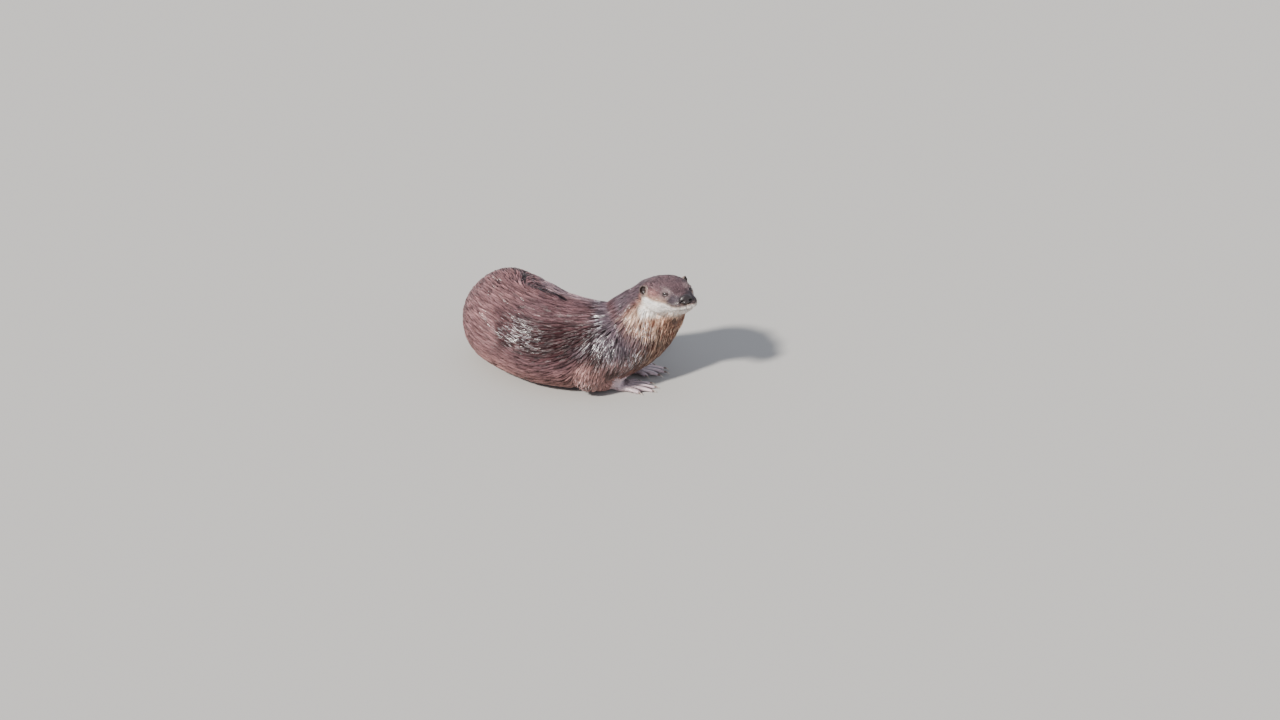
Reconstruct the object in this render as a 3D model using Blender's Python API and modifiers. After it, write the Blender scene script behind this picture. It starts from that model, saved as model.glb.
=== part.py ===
"""A river otter at life size, lying alert on its belly with its hindquarters curled round behind it.

The trunk runs along X and the head is at the +X end. Going back from the shoulders, the spine turns
away along +Y and then forward again, so that the tail lies along the animal's left flank. The neck is
raised and the head is turned towards -Y.

The whole body is modelled as overlapping forms: one loft for the tail, trunk and neck, one for the head,
and lofts and ellipsoids for the limbs, feet and face. The forms are fused into one skin, pressed flat
where they lie on the ground, and then parted by thin cuts into the named pieces of the animal.
All sizes are in centimetres up to the last step, which brings the pieces to metres.
"""

import math

import bmesh
import bpy
from mathutils import Matrix, Vector

# ---------------------------------------------------------------- driving dimensions, in centimetres
METRES_PER_CM = 0.01
FUSE_VOXEL = 0.2  # size of the grid on which the overlapping forms are fused
SMOOTH_PASSES = 9  # passes that round the creases where the forms met
BODY_SHARE = 0.0138  # share of the fused skin's faces that is kept
FINE_PLACE, FINE_REACH = (3.5, 0.0, 0.0), 6.5  # where on the head the skin is kept finer
FINE_WEIGHT, FINE_FACTOR = 0.5, 0.7  # how strongly it is kept finer
CUT = 0.03  # width of the gap between neighbouring pieces

# Spine stations from the back of the skull to the tip of the tail. Each has a place, then how far the
# coat reaches from there to the animal's left, to its right, above and below.
SPINE = {
    "skull_base": ((5.1, 1.4, 18.5), 3.3, 3.3, 1.6, 3.2),
    "atlas": ((4.9, 3.3, 17.8), 4.0, 4.1, 2.7, 4.9),
    "nape": ((4.1, 4.1, 16.1), 4.5, 4.7, 4.3, 5.5),
    "neck": ((3.0, 4.1, 13.9), 5.0, 5.2, 5.2, 6.2),
    "neck_base": ((0.6, 3.6, 11.6), 6.0, 6.2, 5.6, 7.2),
    "shoulder": ((-3.4, 3.0, 9.0), 7.2, 7.4, 5.8, 7.2),
    "ribs": ((-8.8, 3.3, 7.8), 8.2, 8.4, 6.9, 7.7),
    "belly": ((-14.0, 4.8, 7.1), 8.9, 9.1, 7.9, 7.4),
    "loin": ((-19.0, 8.0, 7.2), 7.4, 8.8, 8.0, 7.5),
    "hip": ((-22.4, 12.2, 7.6), 7.2, 8.6, 7.8, 7.9),
    "croup": ((-21.2, 16.2, 7.8), 7.2, 7.2, 7.4, 8.1),
    "tail_root": ((-17.3, 18.3, 7.2), 5.2, 4.4, 4.7, 5.8),
    "tail_1": ((-12.8, 19.6, 5.3), 3.4, 3.3, 3.4, 3.8),
    "tail_2": ((-7.5, 20.8, 3.8), 2.7, 2.7, 2.7, 3.2),
    "tail_3": ((-2.4, 21.4, 2.4), 2.3, 2.3, 2.1, 2.5),
    "tail_4": ((2.2, 20.2, 1.8), 1.9, 1.9, 1.7, 1.9),
    "tail_5": ((4.2, 17.0, 1.3), 1.45, 1.45, 1.25, 1.4),
    "tail_6": ((3.5, 14.0, 0.9), 0.95, 0.95, 0.85, 1.0),
    "tail_tip": ((2.6, 12.6, 0.7), 0.45, 0.45, 0.4, 0.7),
}
SPINE_RING, SPINE_STEPS, SPINE_SQUARE = 40, 5, 2.15  # points of a ring, rings per station, and exponent

# The head's own frame starts midway between the ears: x runs to the nose, y to the animal's left, z up.
HEAD_PLACE = (5.2, 2.2, 19.55)
HEAD_FORWARD = (0.42, -0.90, 0.12)
HEAD_LEFT = (0.905, 0.424, 0.012)
# Stations of the head: distance forward, half width, reach above and reach below.
SKULL = (
    (-4.4, 2.4, -1.0, 3.0),
    (-3.5, 3.7, 0.2, 4.2),
    (-1.8, 4.2, 1.0, 4.9),
    (0.4, 4.3, 1.5, 5.0),
    (2.4, 3.9, 1.65, 4.4),
    (4.1, 3.25, 1.5, 3.7),
    (5.4, 2.75, 1.25, 3.1),
    (6.6, 2.45, 0.95, 2.9),
    (7.7, 2.2, 0.65, 2.7),
    (8.5, 1.65, 0.3, 2.3),
    (8.9, 0.8, -0.2, 1.5),
)
SKULL_RING, SKULL_STEPS, SKULL_SQUARE = 36, 4, 2.35
# Swellings of the face, in pairs or alone: place in the head's frame, then radii along its axes.
FACE_PAIRS = {
    "whisker_pad": ((7.2, 1.35, -1.05), (1.55, 1.15, 1.15)),
    "cheek": ((1.9, 2.5, -1.8), (3.0, 1.7, 2.4)),
    "brow": ((4.6, 1.75, 0.85), (1.4, 0.85, 0.5)),
}
FACE_MIDDLE = {
    "chin": ((6.4, 0.0, -2.35), (1.85, 1.55, 0.9)),
    "bridge": ((6.9, 0.0, 0.3), (2.1, 1.15, 0.7)),
}
# The throat fills the way from the chin to the front of the neck: distance forward, height and radius
# at its two ends.
THROAT = ((5.4, -2.6, 1.0), (-1.8, -9.0, 2.2))
THROAT_STEPS, THROAT_WIDTH = 8, 1.15
EYE_PLACE, EYE_RADIUS = (5.2, 2.3, 0.42), 0.5
EAR_PLACE, EAR_RADII = (-0.1, 4.05, -0.25), (0.45, 0.85, 0.95)  # radii: thickness, width and height
EAR_FACING = (0.72, 0.66, 0.12)
EAR_BOWL = 0.74  # size of the hollow of the ear as a share of the ear
NOSE_PLACE, NOSE_RADII = (8.55, 0.0, 0.02), (0.62, 1.38, 0.95)
NOSTRIL_PLACE, NOSTRIL_RADII = (9.1, 0.74, -0.1), (0.34, 0.22, 0.15)

# Joints of each leg from shoulder or hip down to wrist or ankle, each with the leg's radius there.
LEGS = {
    "foreleg_right": (
        ((-4.0, -1.0, 8.4), 4.5), ((-8.2, -2.7, 4.7), 3.4), ((-6.2, -1.2, 2.9), 2.5), ((-3.7, 0.2, 1.9), 1.7),
    ),
    "foreleg_left": (
        ((-2.6, 7.0, 8.0), 3.6), ((-5.4, 9.4, 4.8), 2.7), ((-3.8, 8.2, 3.0), 2.0), ((-1.8, 6.9, 1.9), 1.5),
    ),
    "hindleg_right": (
        ((-21.5, 10.0, 6.6), 6.2), ((-15.6, 3.2, 4.8), 4.1), ((-20.5, 5.6, 2.8), 2.6),
        ((-24.2, 9.2, 1.6), 1.6),
    ),
    "hindleg_left": (
        ((-18.6, 14.6, 6.4), 4.6), ((-13.2, 12.6, 4.2), 3.0), ((-16.0, 13.8, 2.6), 2.2),
        ((-18.6, 15.2, 1.5), 1.5),
    ),
}
# Where each foot's wrist or ankle stands, and the way the foot points.
FEET = {
    "foreleg_right": ((-4.0, 0.15), (1.0, -0.06)),
    "foreleg_left": ((-2.0, 6.8), (1.0, -0.20)),
    "hindleg_right": ((-24.6, 9.6), (1.0, -0.50)),
    "hindleg_left": ((-18.8, 15.0), (1.0, -0.02)),
}
# Toes from the inner one outwards: where each leaves the palm and where its claw ends, each as the
# distance forward from the wrist and the distance out from the foot's middle line.
TOES = {
    "foreleg": (
        ((2.7, -1.3), (5.2, -2.5)),
        ((3.2, -0.75), (7.5, -1.6)),
        ((3.3, 0.0), (8.4, -0.1)),
        ((3.2, 0.75), (8.0, 1.45)),
        ((2.6, 1.35), (5.6, 2.55)),
    ),
    "hindleg": (
        ((4.2, -1.5), (7.4, -2.9)),
        ((5.0, -0.9), (9.9, -1.9)),
        ((5.2, -0.1), (11.2, -0.3)),
        ((5.0, 0.75), (11.0, 1.4)),
        ((4.4, 1.5), (9.2, 2.9)),
    ),
}
PALM_RADII = {"foreleg": (2.4, 1.75, 0.8), "hindleg": (3.5, 1.9, 0.85)}
TOE_RADIUS = 0.5
WEB_RADII = (0.8, 0.2)  # radii of the web along the toe and through its thickness
CLAW_LENGTH, CLAW_RADIUS = 1.15, 0.19

# Thin cuts across the spine: place, the way the cut faces, and half the sheet's width and height.
CUTS = {
    "head_from_neck": ((4.3, 5.2, 17.1), (0.30, -0.60, 0.80), (9.5, 11.0)),
    "neck_from_chest": ((0.8, 3.9, 11.3), (0.75, 0.10, 0.75), (9.0, 9.5)),
    "chest_from_barrel": ((-7.6, 3.2, 8.2), (1.0, 0.05, 0.10), (10.5, 9.5)),
    "barrel_from_loin": ((-15.2, 5.4, 7.1), (0.95, -0.30, 0.0), (10.0, 9.0)),
    "loin_from_rump": ((-22.4, 12.9, 7.4), (0.08, -1.0, 0.0), (9.0, 9.5)),
    "rump_from_tail": ((-17.6, 19.0, 7.4), (-1.0, -0.35, 0.0), (6.2, 8.5)),
    "tail_root_from_middle": ((-10.0, 20.6, 4.9), (-1.0, -0.1, 0.3), (4.5, 5.0)),
    "tail_middle_from_tip": ((0.2, 20.9, 2.1), (-0.95, 0.25, 0.1), (3.4, 3.4)),
}
# A point inside each piece that the cuts leave, to name it by.
INSIDE = {
    "head": (5.6, 1.8, 19.0),
    "neck": (3.0, 4.1, 14.2),
    "chest": (-3.6, 2.9, 8.6),
    "barrel": (-11.5, 4.2, 7.4),
    "loin": (-19.5, 7.5, 7.2),
    "rump": (-22.0, 16.8, 7.7),
    "tail_root": (-14.0, 20.0, 6.2),
    "tail_middle": (-5.0, 21.2, 3.2),
    "tail_tip": (3.8, 17.6, 1.3),
}
# Half sizes of the ellipsoid that takes in a foot where its leg is parted from the trunk.
FOOT_REGION = {"foreleg": (5.6, 3.3, 2.2), "hindleg": (7.2, 3.6, 2.4)}
REGION_VOXEL, REGION_SHARE = 0.4, 0.02
LEG_REGION_GROWTH = 0.3  # how much fatter than the leg the region is that is parted off with it

SOCKET_SLACK = 1.6  # hollows are this many cuts wider than what sits in them, as both are faceted

COAT = (0.105, 0.062, 0.048, 1.0)
NOSE_SKIN = (0.035, 0.030, 0.032, 1.0)
EYE_BROWN = (0.012, 0.008, 0.006, 1.0)


# ---------------------------------------------------------------- small tools
def material(name, colour, roughness):
    made = bpy.data.materials.new(name)
    made.use_nodes = True
    shader = made.node_tree.nodes["Principled BSDF"]
    shader.inputs["Base Color"].default_value = colour
    shader.inputs["Roughness"].default_value = roughness
    return made


def object_from(bm, name, collection):
    """The bmesh as a new object in the collection, with its faces turned outwards."""
    bmesh.ops.recalc_face_normals(bm, faces=bm.faces)
    mesh = bpy.data.meshes.new(name)
    bm.to_mesh(mesh)
    bm.free()
    made = bpy.data.objects.new(name, mesh)
    collection.objects.link(made)
    return made


def settled(obj):
    """The object, with its mesh swapped for what its modifiers make of it."""
    bpy.context.view_layer.update()
    graph = bpy.context.evaluated_depsgraph_get()
    mesh = bpy.data.meshes.new_from_object(obj.evaluated_get(graph))
    obj.modifiers.clear()
    obj.data = mesh
    return obj


def fused(obj, voxel, share, fine=None):
    """The object's overlapping shells made into one smooth skin, with a share of its faces kept.
    Within fine, a place and a distance, more faces are kept than elsewhere."""
    step = obj.modifiers.new("fuse", "REMESH")
    step.mode = "VOXEL"
    step.voxel_size = voxel
    step = obj.modifiers.new("rounding", "SMOOTH")
    step.factor = 0.5
    step.iterations = SMOOTH_PASSES
    settled(obj)
    step = obj.modifiers.new("thinning", "DECIMATE")
    step.ratio = share
    if fine:
        group = obj.vertex_groups.new(name="coarse")
        place, distance = fine
        for vert in obj.data.vertices:
            near = (vert.co - Vector(place)).length < distance
            group.add([vert.index], FINE_WEIGHT if near else 1.0, "REPLACE")
        step.vertex_group = group.name
        step.vertex_group_factor = FINE_FACTOR
    settled(obj)
    obj.vertex_groups.clear()
    return obj


def combined(obj, other, operation):
    """The object after a Boolean with the other."""
    step = obj.modifiers.new(operation.lower(), "BOOLEAN")
    step.operation = operation
    step.solver = "EXACT"
    step.object = other
    return settled(obj)


def copy_of(obj, name):
    made = bpy.data.objects.new(name, obj.data.copy())
    BODY.objects.link(made)
    return made


def between(a, b, c, d, share):
    """A Catmull-Rom curve's value at a share of the way from b to c."""
    rising = (c - a) * share
    bending = (2 * a - 5 * b + 4 * c - d) * share**2
    easing = (3 * b - a - 3 * c + d) * share**3
    return b + (rising + bending + easing) / 2


def smooth_stations(stations, steps):
    """The stations, each a tuple of numbers, with more of them filled in along a smooth curve."""
    last = len(stations) - 1
    found = []
    for i in range(last):
        near = [stations[min(max(i + k, 0), last)] for k in (-1, 0, 1, 2)]
        for step in range(steps):
            found.append([between(*values, step / steps) for values in zip(*near)])
    return found + [list(stations[last])]


def add_loft(bm, rings, points, square=2.0):
    """A closed tube through rings, each a centre and its reaches left, right, up and down."""
    loops = []
    for centre, left, right, up, down in rings:
        verts = bmesh.ops.create_circle(bm, segments=points, radius=1.0)["verts"]
        loops.append((verts, list(dict.fromkeys(e for v in verts for e in v.link_edges))))
        for vert in verts:
            across, over = (math.copysign(abs(v) ** (2 / square), v) for v in vert.co.xy)
            vert.co = centre + (across * left if across > 0 else -across * right)
            vert.co += over * up if over > 0 else -over * down
    for one, other in zip(loops, loops[1:]):
        bmesh.ops.bridge_loops(bm, edges=one[1] + other[1])
    for verts, _ in (loops[0], loops[-1]):
        bmesh.ops.contextual_create(bm, geom=verts)


def add_ball(bm, place, radii, turn, detail=3):
    """An ellipsoid whose radii lie along the axes of turn."""
    shape = Matrix.Translation(place) @ turn.to_3x3().to_4x4() @ Matrix.Diagonal((*radii, 1.0))
    bmesh.ops.create_icosphere(bm, subdivisions=detail, radius=1.0, matrix=shape)


def add_limb(bm, joints, steps=4, points=16):
    """A tapering tube along the joints, each a place and a radius, with a ball at each end."""
    stations = smooth_stations([(*place, radius) for place, radius in joints], steps)
    rings = []
    for i, (x, y, z, radius) in enumerate(stations):
        before, after = stations[max(i - 1, 0)], stations[min(i + 1, len(stations) - 1)]
        turn = (Vector(after[:3]) - Vector(before[:3])).to_track_quat("Z", "Y")
        side, over = turn @ Vector((radius, 0, 0)), turn @ Vector((0, radius, 0))
        rings.append((Vector((x, y, z)), side, -side, over, -over))
    add_loft(bm, rings, points)
    for place, radius in (joints[0], joints[-1]):
        add_ball(bm, place, [radius] * 3, Matrix.Identity(3), detail=2)


def axes(forward, left):
    """The rotation whose x axis is forward and whose y axis is as near left as it can be."""
    forward, left = Vector(forward).normalized(), Vector(left)
    left = (left - forward * left.dot(forward)).normalized()
    return Matrix((forward, left, forward.cross(left))).transposed()


# ---------------------------------------------------------------- the spine: neck, trunk and tail
def spine_rings():
    fine = smooth_stations([(*place, *reach) for place, *reach in SPINE.values()], SPINE_STEPS)
    rings = []
    for i, (x, y, z, left, right, up, down) in enumerate(fine):
        before, after = fine[max(i - 1, 0)], fine[min(i + 1, len(fine) - 1)]
        forward = Vector(before[:3]) - Vector(after[:3])
        _, side, above = axes(forward, Vector((0, 0, 1)).cross(forward)).transposed()
        rings.append((Vector((x, y, z)), side * left, -side * right, above * up, -above * down))
    return rings


# ---------------------------------------------------------------- the head
HEAD = Matrix.Translation(HEAD_PLACE) @ axes(HEAD_FORWARD, HEAD_LEFT).to_4x4()


def skull_rings():
    rings = []
    _, side, above = HEAD.to_3x3().transposed()
    for forward, width, up, down in smooth_stations(SKULL, SKULL_STEPS):
        centre = HEAD @ Vector((forward, 0, (up - down) / 2))
        half = above * (up + down) / 2
        rings.append((centre, side * width, -side * width, half, -half))
    return rings


def mirrored(place, side):
    return Vector((place[0], place[1] * side, place[2]))


def ball(name, place, radii, turn, detail, collection):
    bm = bmesh.new()
    add_ball(bm, place, radii, turn, detail)
    return object_from(bm, name, collection)


def grown(radii, extra):
    return [radius + extra for radius in radii]


# ---------------------------------------------------------------- the feet
def foot_frame(leg):
    """The matrix from a foot's frame, x forward, y to its outer side and z up, to the body's."""
    (x, y), (along, across) = FEET[leg]
    forward = Vector((along, across, 0)).normalized()
    left = Vector((0, 0, 1)).cross(forward)
    outer = left if leg.endswith("left") else -left
    turned = Matrix((forward, outer, Vector((0, 0, 1)))).transposed().to_4x4()
    return Matrix.Translation((x, y, 0)) @ turned


def toe_joints(root, tip):
    """Joints of a toe from palm to claw, arched over the knuckle, each a place and a radius."""
    root, tip = Vector((*root, 0)), Vector((*tip, 0))
    end = tip - (tip - root).normalized() * CLAW_LENGTH * 0.7
    arch = ((0.0, 0.62, 0.96), (0.45, 0.66, 0.96), (0.78, 0.5, 1.0), (1.0, 0.36, 0.88))
    return [(root.lerp(end, share) + Vector((0, 0, z)), TOE_RADIUS * size) for share, z, size in arch]


def add_foot(bm, leg):
    frame = foot_frame(leg)
    kind = leg.split("_")[0]
    long, wide, high = PALM_RADII[kind]
    add_ball(bm, frame @ Vector((long * 0.8, 0, high * 0.8)), (long, wide, high), frame)
    toes = [toe_joints(*toe) for toe in TOES[kind]]
    for toe in toes:
        heel = (Vector((long * 0.4, toe[0][0].y * 0.5, 0.7)), TOE_RADIUS)
        add_limb(bm, [(frame @ place, radius) for place, radius in (heel, *toe)], steps=3, points=12)
    for one, other in zip(toes, toes[1:]):  # the web between neighbouring toes
        for share in (0.15, 0.4, 0.62):
            a, b = (toe[0][0].lerp(toe[-1][0], share) for toe in (one, other))
            middle = Vector((*((a + b) / 2).xy, 0.34))
            add_ball(bm, frame @ middle, (WEB_RADII[0], (b - a).length / 2, WEB_RADII[1]), frame, detail=2)


def add_claws(bm, leg):
    """Five curved cones, each set into the end of its toe."""
    frame = foot_frame(leg)
    for root, tip in TOES[leg.split("_")[0]]:
        forward = (Vector((*tip, 0)) - Vector((*root, 0))).normalized()
        side, above = Vector((-forward.y, forward.x, 0)), Vector((0, 0, 1))
        rings = []
        for back, height, thick in ((1.0, 0.44, 1.0), (0.5, 0.45, 0.85), (0.0, 0.07, 0.2)):
            centre = Vector((*tip, height)) - forward * CLAW_LENGTH * back
            reach = [frame.to_3x3() @ axis * CLAW_RADIUS * thick for axis in (side, -side, above, -above)]
            rings.append((frame @ centre, *reach))
        add_loft(bm, rings, 5)


# ---------------------------------------------------------------- fusing the forms
for old in list(bpy.data.objects):
    bpy.data.objects.remove(old)
BODY = bpy.data.collections.new("river_otter")
CUTTERS = bpy.data.collections.new("cutters")
for made in (BODY, CUTTERS):
    bpy.context.scene.collection.children.link(made)

forms = bmesh.new()
add_loft(forms, spine_rings(), SPINE_RING, SPINE_SQUARE)
add_loft(forms, skull_rings(), SKULL_RING, SKULL_SQUARE)
for place, radii in FACE_PAIRS.values():
    for side in (1, -1):
        add_ball(forms, HEAD @ mirrored(place, side), radii, HEAD)
for place, radii in FACE_MIDDLE.values():
    add_ball(forms, HEAD @ Vector(place), radii, HEAD)
for step in range(THROAT_STEPS):
    share = step / (THROAT_STEPS - 1)
    ahead, above, radius = (start + (end - start) * share for start, end in zip(*THROAT))
    add_ball(forms, HEAD @ Vector((ahead, 0.0, above)), (radius, radius * THROAT_WIDTH, radius), HEAD)
for leg, joints in LEGS.items():
    add_limb(forms, joints)
    add_foot(forms, leg)
body = object_from(forms, "body", BODY)

fused(body, FUSE_VOXEL, BODY_SHARE, (HEAD @ Vector(FINE_PLACE), FINE_REACH))

# ---------------------------------------------------------------- pressing flat and parting
def slab(name, place, turn, size):
    """A box of the given size with its middle at place and its sides along the axes of turn."""
    bm = bmesh.new()
    shape = Matrix.Translation(place) @ turn.to_4x4() @ Matrix.Diagonal((*size, 1.0))
    bmesh.ops.create_cube(bm, size=1.0, matrix=shape)
    return cutter(object_from(bm, name, CUTTERS))


def cutter(obj):
    obj.hide_render = True
    obj.display_type = "WIRE"
    return obj


def leg_region(leg):
    """The space that a leg takes out of the fused body."""
    bm = bmesh.new()
    add_limb(bm, [(place, radius + LEG_REGION_GROWTH) for place, radius in LEGS[leg]])
    radii = FOOT_REGION[leg.split("_")[0]]
    frame = foot_frame(leg)
    add_ball(bm, frame @ Vector((radii[0] * 0.8, 0, 0.6)), radii, frame)
    region = cutter(object_from(bm, leg + "_region", CUTTERS))
    fused(region, REGION_VOXEL, REGION_SHARE)
    return region


def swollen(obj, extra):
    """A copy of a cutter whose surface lies farther out all over."""
    made = bpy.data.objects.new(obj.name + "_swollen", obj.data.copy())
    CUTTERS.objects.link(made)
    step = made.modifiers.new("swell", "DISPLACE")
    step.strength, step.mid_level = extra, 0.0
    return cutter(settled(made))


def loose_pieces(obj):
    """Sets of face indices, one for each closed shell of the object."""
    bm = bmesh.new()
    bm.from_mesh(obj.data)
    seen, shells = set(), []
    for face in bm.faces:
        if face.index in seen:
            continue
        shell, waiting = [], [face]
        seen.add(face.index)
        while waiting:
            here = waiting.pop()
            shell.append(here.index)
            for edge in here.edges:
                for near in edge.link_faces:
                    if near.index not in seen:
                        seen.add(near.index)
                        waiting.append(near)
        shells.append(shell)
    bm.free()
    return shells


def piece_of(obj, shell, name):
    """A new object made of some of the object's faces."""
    kept = set(shell)
    bm = bmesh.new()
    bm.from_mesh(obj.data)
    bmesh.ops.delete(bm, geom=[face for face in bm.faces if face.index not in kept], context="FACES")
    return object_from(bm, name, BODY)


combined(body, slab("ground", (-8.0, 8.0, -2.5), Matrix.Identity(3), (80.0, 80.0, 5.0)), "DIFFERENCE")

# The legs come out first, each with the claws of its foot set into the toes.
pieces = {}
for leg in LEGS:
    region = leg_region(leg)
    pieces[leg] = combined(copy_of(body, leg), region, "INTERSECT")
    combined(body, swollen(region, CUT * SOCKET_SLACK), "DIFFERENCE")
    claws = bmesh.new()
    add_claws(claws, leg)
    combined(pieces[leg], cutter(object_from(claws, leg + "_claws", CUTTERS)), "UNION")

# Then the thin sheets part the rest along the spine, and each piece is named by the point inside it.
for name, (place, facing, (across, above)) in CUTS.items():
    turn = axes(facing, Vector((0, 0, 1)).cross(Vector(facing)))
    combined(body, slab(name, place, turn, (CUT, 2 * across, 2 * above)), "DIFFERENCE")
shells = loose_pieces(body)
for name, inside in INSIDE.items():
    def distance(shell):
        return min((body.data.polygons[i].center - Vector(inside)).length for i in shell)
    pieces[name] = piece_of(body, min(shells, key=distance), name)
bpy.data.objects.remove(body)

# The eyes, ears and nose pad are set into hollows in the head a cut wider than themselves.
for side, word in ((1, "left"), (-1, "right")):
    eye = HEAD @ mirrored(EYE_PLACE, side)
    pieces["eye_" + word] = ball("eye_" + word, eye, [EYE_RADIUS] * 3, HEAD, 2, BODY)
    socket = ball("socket_" + word, eye, [EYE_RADIUS + CUT * SOCKET_SLACK] * 3, HEAD, 2, CUTTERS)
    combined(pieces["head"], cutter(socket), "DIFFERENCE")

    ear, facing = HEAD @ mirrored(EAR_PLACE, side), mirrored(EAR_FACING, side)
    turn = HEAD.to_3x3() @ axes(facing, Vector((0, 0, 1)).cross(facing))
    name = "ear_" + word
    pieces[name] = ball(name, ear, EAR_RADII, turn, 2, BODY)
    seat = ball(name + "_seat", ear, grown(EAR_RADII, CUT * SOCKET_SLACK), turn, 2, CUTTERS)
    combined(pieces["head"], cutter(seat), "DIFFERENCE")
    bowl_place = ear + turn @ Vector((EAR_RADII[0], 0, 0))
    bowl = ball(name + "_bowl", bowl_place, [r * EAR_BOWL for r in EAR_RADII], turn, 2, CUTTERS)
    combined(pieces[name], cutter(bowl), "DIFFERENCE")

nose = HEAD @ Vector(NOSE_PLACE)
pieces["nose_pad"] = ball("nose_pad", nose, NOSE_RADII, HEAD, 2, BODY)
seat = ball("nose_seat", nose, grown(NOSE_RADII, CUT * SOCKET_SLACK), HEAD, 2, CUTTERS)
combined(pieces["head"], cutter(seat), "DIFFERENCE")
for side in (1, -1):
    nostril = ball("nostril", HEAD @ mirrored(NOSTRIL_PLACE, side), NOSTRIL_RADII, HEAD, 1, CUTTERS)
    combined(pieces["nose_pad"], cutter(nostril), "DIFFERENCE")

# ---------------------------------------------------------------- finishing
COATED = material("wet_brown_coat", COAT, 0.45)
BARE = material("black_nose_skin", NOSE_SKIN, 0.35)
EYEBALL = material("dark_brown_eye", EYE_BROWN, 0.08)

corners = [vert.co for piece in pieces.values() for vert in piece.data.vertices]
low, high = ([pick(corner[axis] for corner in corners) for axis in range(3)] for pick in (min, max))
base = Vector(((low[0] + high[0]) / 2, (low[1] + high[1]) / 2, low[2]))
to_metres = Matrix.Scale(METRES_PER_CM, 4) @ Matrix.Translation(-base)
for name, piece in pieces.items():
    piece.data.transform(to_metres)
    piece.data.materials.clear()
    piece.data.materials.append(EYEBALL if name.startswith("eye") else BARE if name == "nose_pad" else COATED)
    piece.data.shade_smooth()
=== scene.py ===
import math

import bmesh
import bpy
import numpy as np
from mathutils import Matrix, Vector
from mathutils.bvhtree import BVHTree
from mathutils.kdtree import KDTree


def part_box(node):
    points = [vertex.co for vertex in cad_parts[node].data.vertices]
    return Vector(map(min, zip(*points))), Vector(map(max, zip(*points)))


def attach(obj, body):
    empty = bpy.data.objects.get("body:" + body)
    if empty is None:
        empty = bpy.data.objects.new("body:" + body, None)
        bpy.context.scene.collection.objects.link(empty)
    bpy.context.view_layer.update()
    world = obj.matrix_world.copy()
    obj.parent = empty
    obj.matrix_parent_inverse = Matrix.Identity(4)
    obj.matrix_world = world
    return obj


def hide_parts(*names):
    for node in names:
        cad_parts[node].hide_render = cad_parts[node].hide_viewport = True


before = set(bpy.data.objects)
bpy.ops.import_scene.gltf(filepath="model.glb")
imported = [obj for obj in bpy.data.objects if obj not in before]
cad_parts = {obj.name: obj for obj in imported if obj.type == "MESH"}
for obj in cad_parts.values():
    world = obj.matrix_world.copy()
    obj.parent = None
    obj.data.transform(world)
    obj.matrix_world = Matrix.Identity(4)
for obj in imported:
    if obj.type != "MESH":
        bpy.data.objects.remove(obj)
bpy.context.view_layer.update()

# ---------------------------------------------------------------- the skin
# The hide of a grown river otter, one closed piece from the lips to the tip of the tail and down
# to the toes. It is fused from the solids of flesh, smoothed as loose skin over muscle is, and
# drawn in by the coat's own depth, so that the tips of the fur lie where the solids end.
CM = 0.01
SKIN_GRID = 0.0028  # the cells that the flesh is fused on
SEAM_OVERLAP = 0.0005  # each solid swells by this, so that the cuts between them close
SPINE_NODES = [
    "head", "neck", "chest", "barrel", "loin", "rump", "tail_root", "tail_middle", "tail_tip",
]
LEG_NODES = ["foreleg_right", "foreleg_left", "hindleg_right", "hindleg_left"]
EAR_NODES = ["ear_left", "ear_right"]
FLESH = SPINE_NODES + LEG_NODES + EAR_NODES
HEAD_SIZE = 5.2 * CM  # from between the ears forward to between the eyes
NOSE_DROP = math.radians(6.8)  # how far the line from the eyes to the nose dips below the skull's
# The line that the backbone follows from nose to tail tip, in centimetres in the model's frame.
BACKBONE = [
    (19.0, -14.5, 20.6), (17.0, -10.1, 18.8), (14.9, -5.6, 17.9), (14.2, -4.6, 16.1), (13.1, -4.6, 13.9),
    (10.7, -5.1, 11.6), (6.7, -5.7, 9.0), (1.3, -5.4, 7.8), (-3.9, -3.9, 7.1), (-8.9, -0.7, 7.2),
    (-12.3, 3.5, 7.6), (-11.1, 7.5, 7.8), (-7.2, 9.6, 7.2), (-2.7, 10.9, 5.3), (2.6, 12.1, 3.8),
    (7.7, 12.7, 2.4), (12.3, 11.5, 1.8), (14.3, 8.3, 1.3), (13.6, 5.3, 0.9), (12.7, 3.9, 0.7),
]
# Each leg's line from the trunk to the tip of its middle toe, in centimetres.
LEG_LINES = {
    "foreleg_right": [
        (6.1, -9.7, 8.4), (1.9, -11.4, 4.7), (3.9, -9.9, 2.9), (6.4, -8.5, 1.9), (14.5, -9.0, 0.4),
    ],
    "foreleg_left": [
        (7.5, -1.7, 8.0), (4.7, 0.7, 4.8), (6.3, -0.5, 3.0), (8.3, -1.8, 1.9), (16.3, -3.5, 0.4),
    ],
    "hindleg_right": [
        (-11.4, 1.3, 6.6), (-5.5, -5.5, 4.8), (-10.4, -3.1, 2.8), (-14.1, 0.5, 1.6), (-4.5, -4.1, 0.4),
    ],
    "hindleg_left": [
        (-8.5, 5.9, 6.4), (-3.1, 3.9, 4.2), (-5.9, 5.1, 2.6), (-8.5, 6.5, 1.5), (2.5, 6.1, 0.4),
    ],
}
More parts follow.
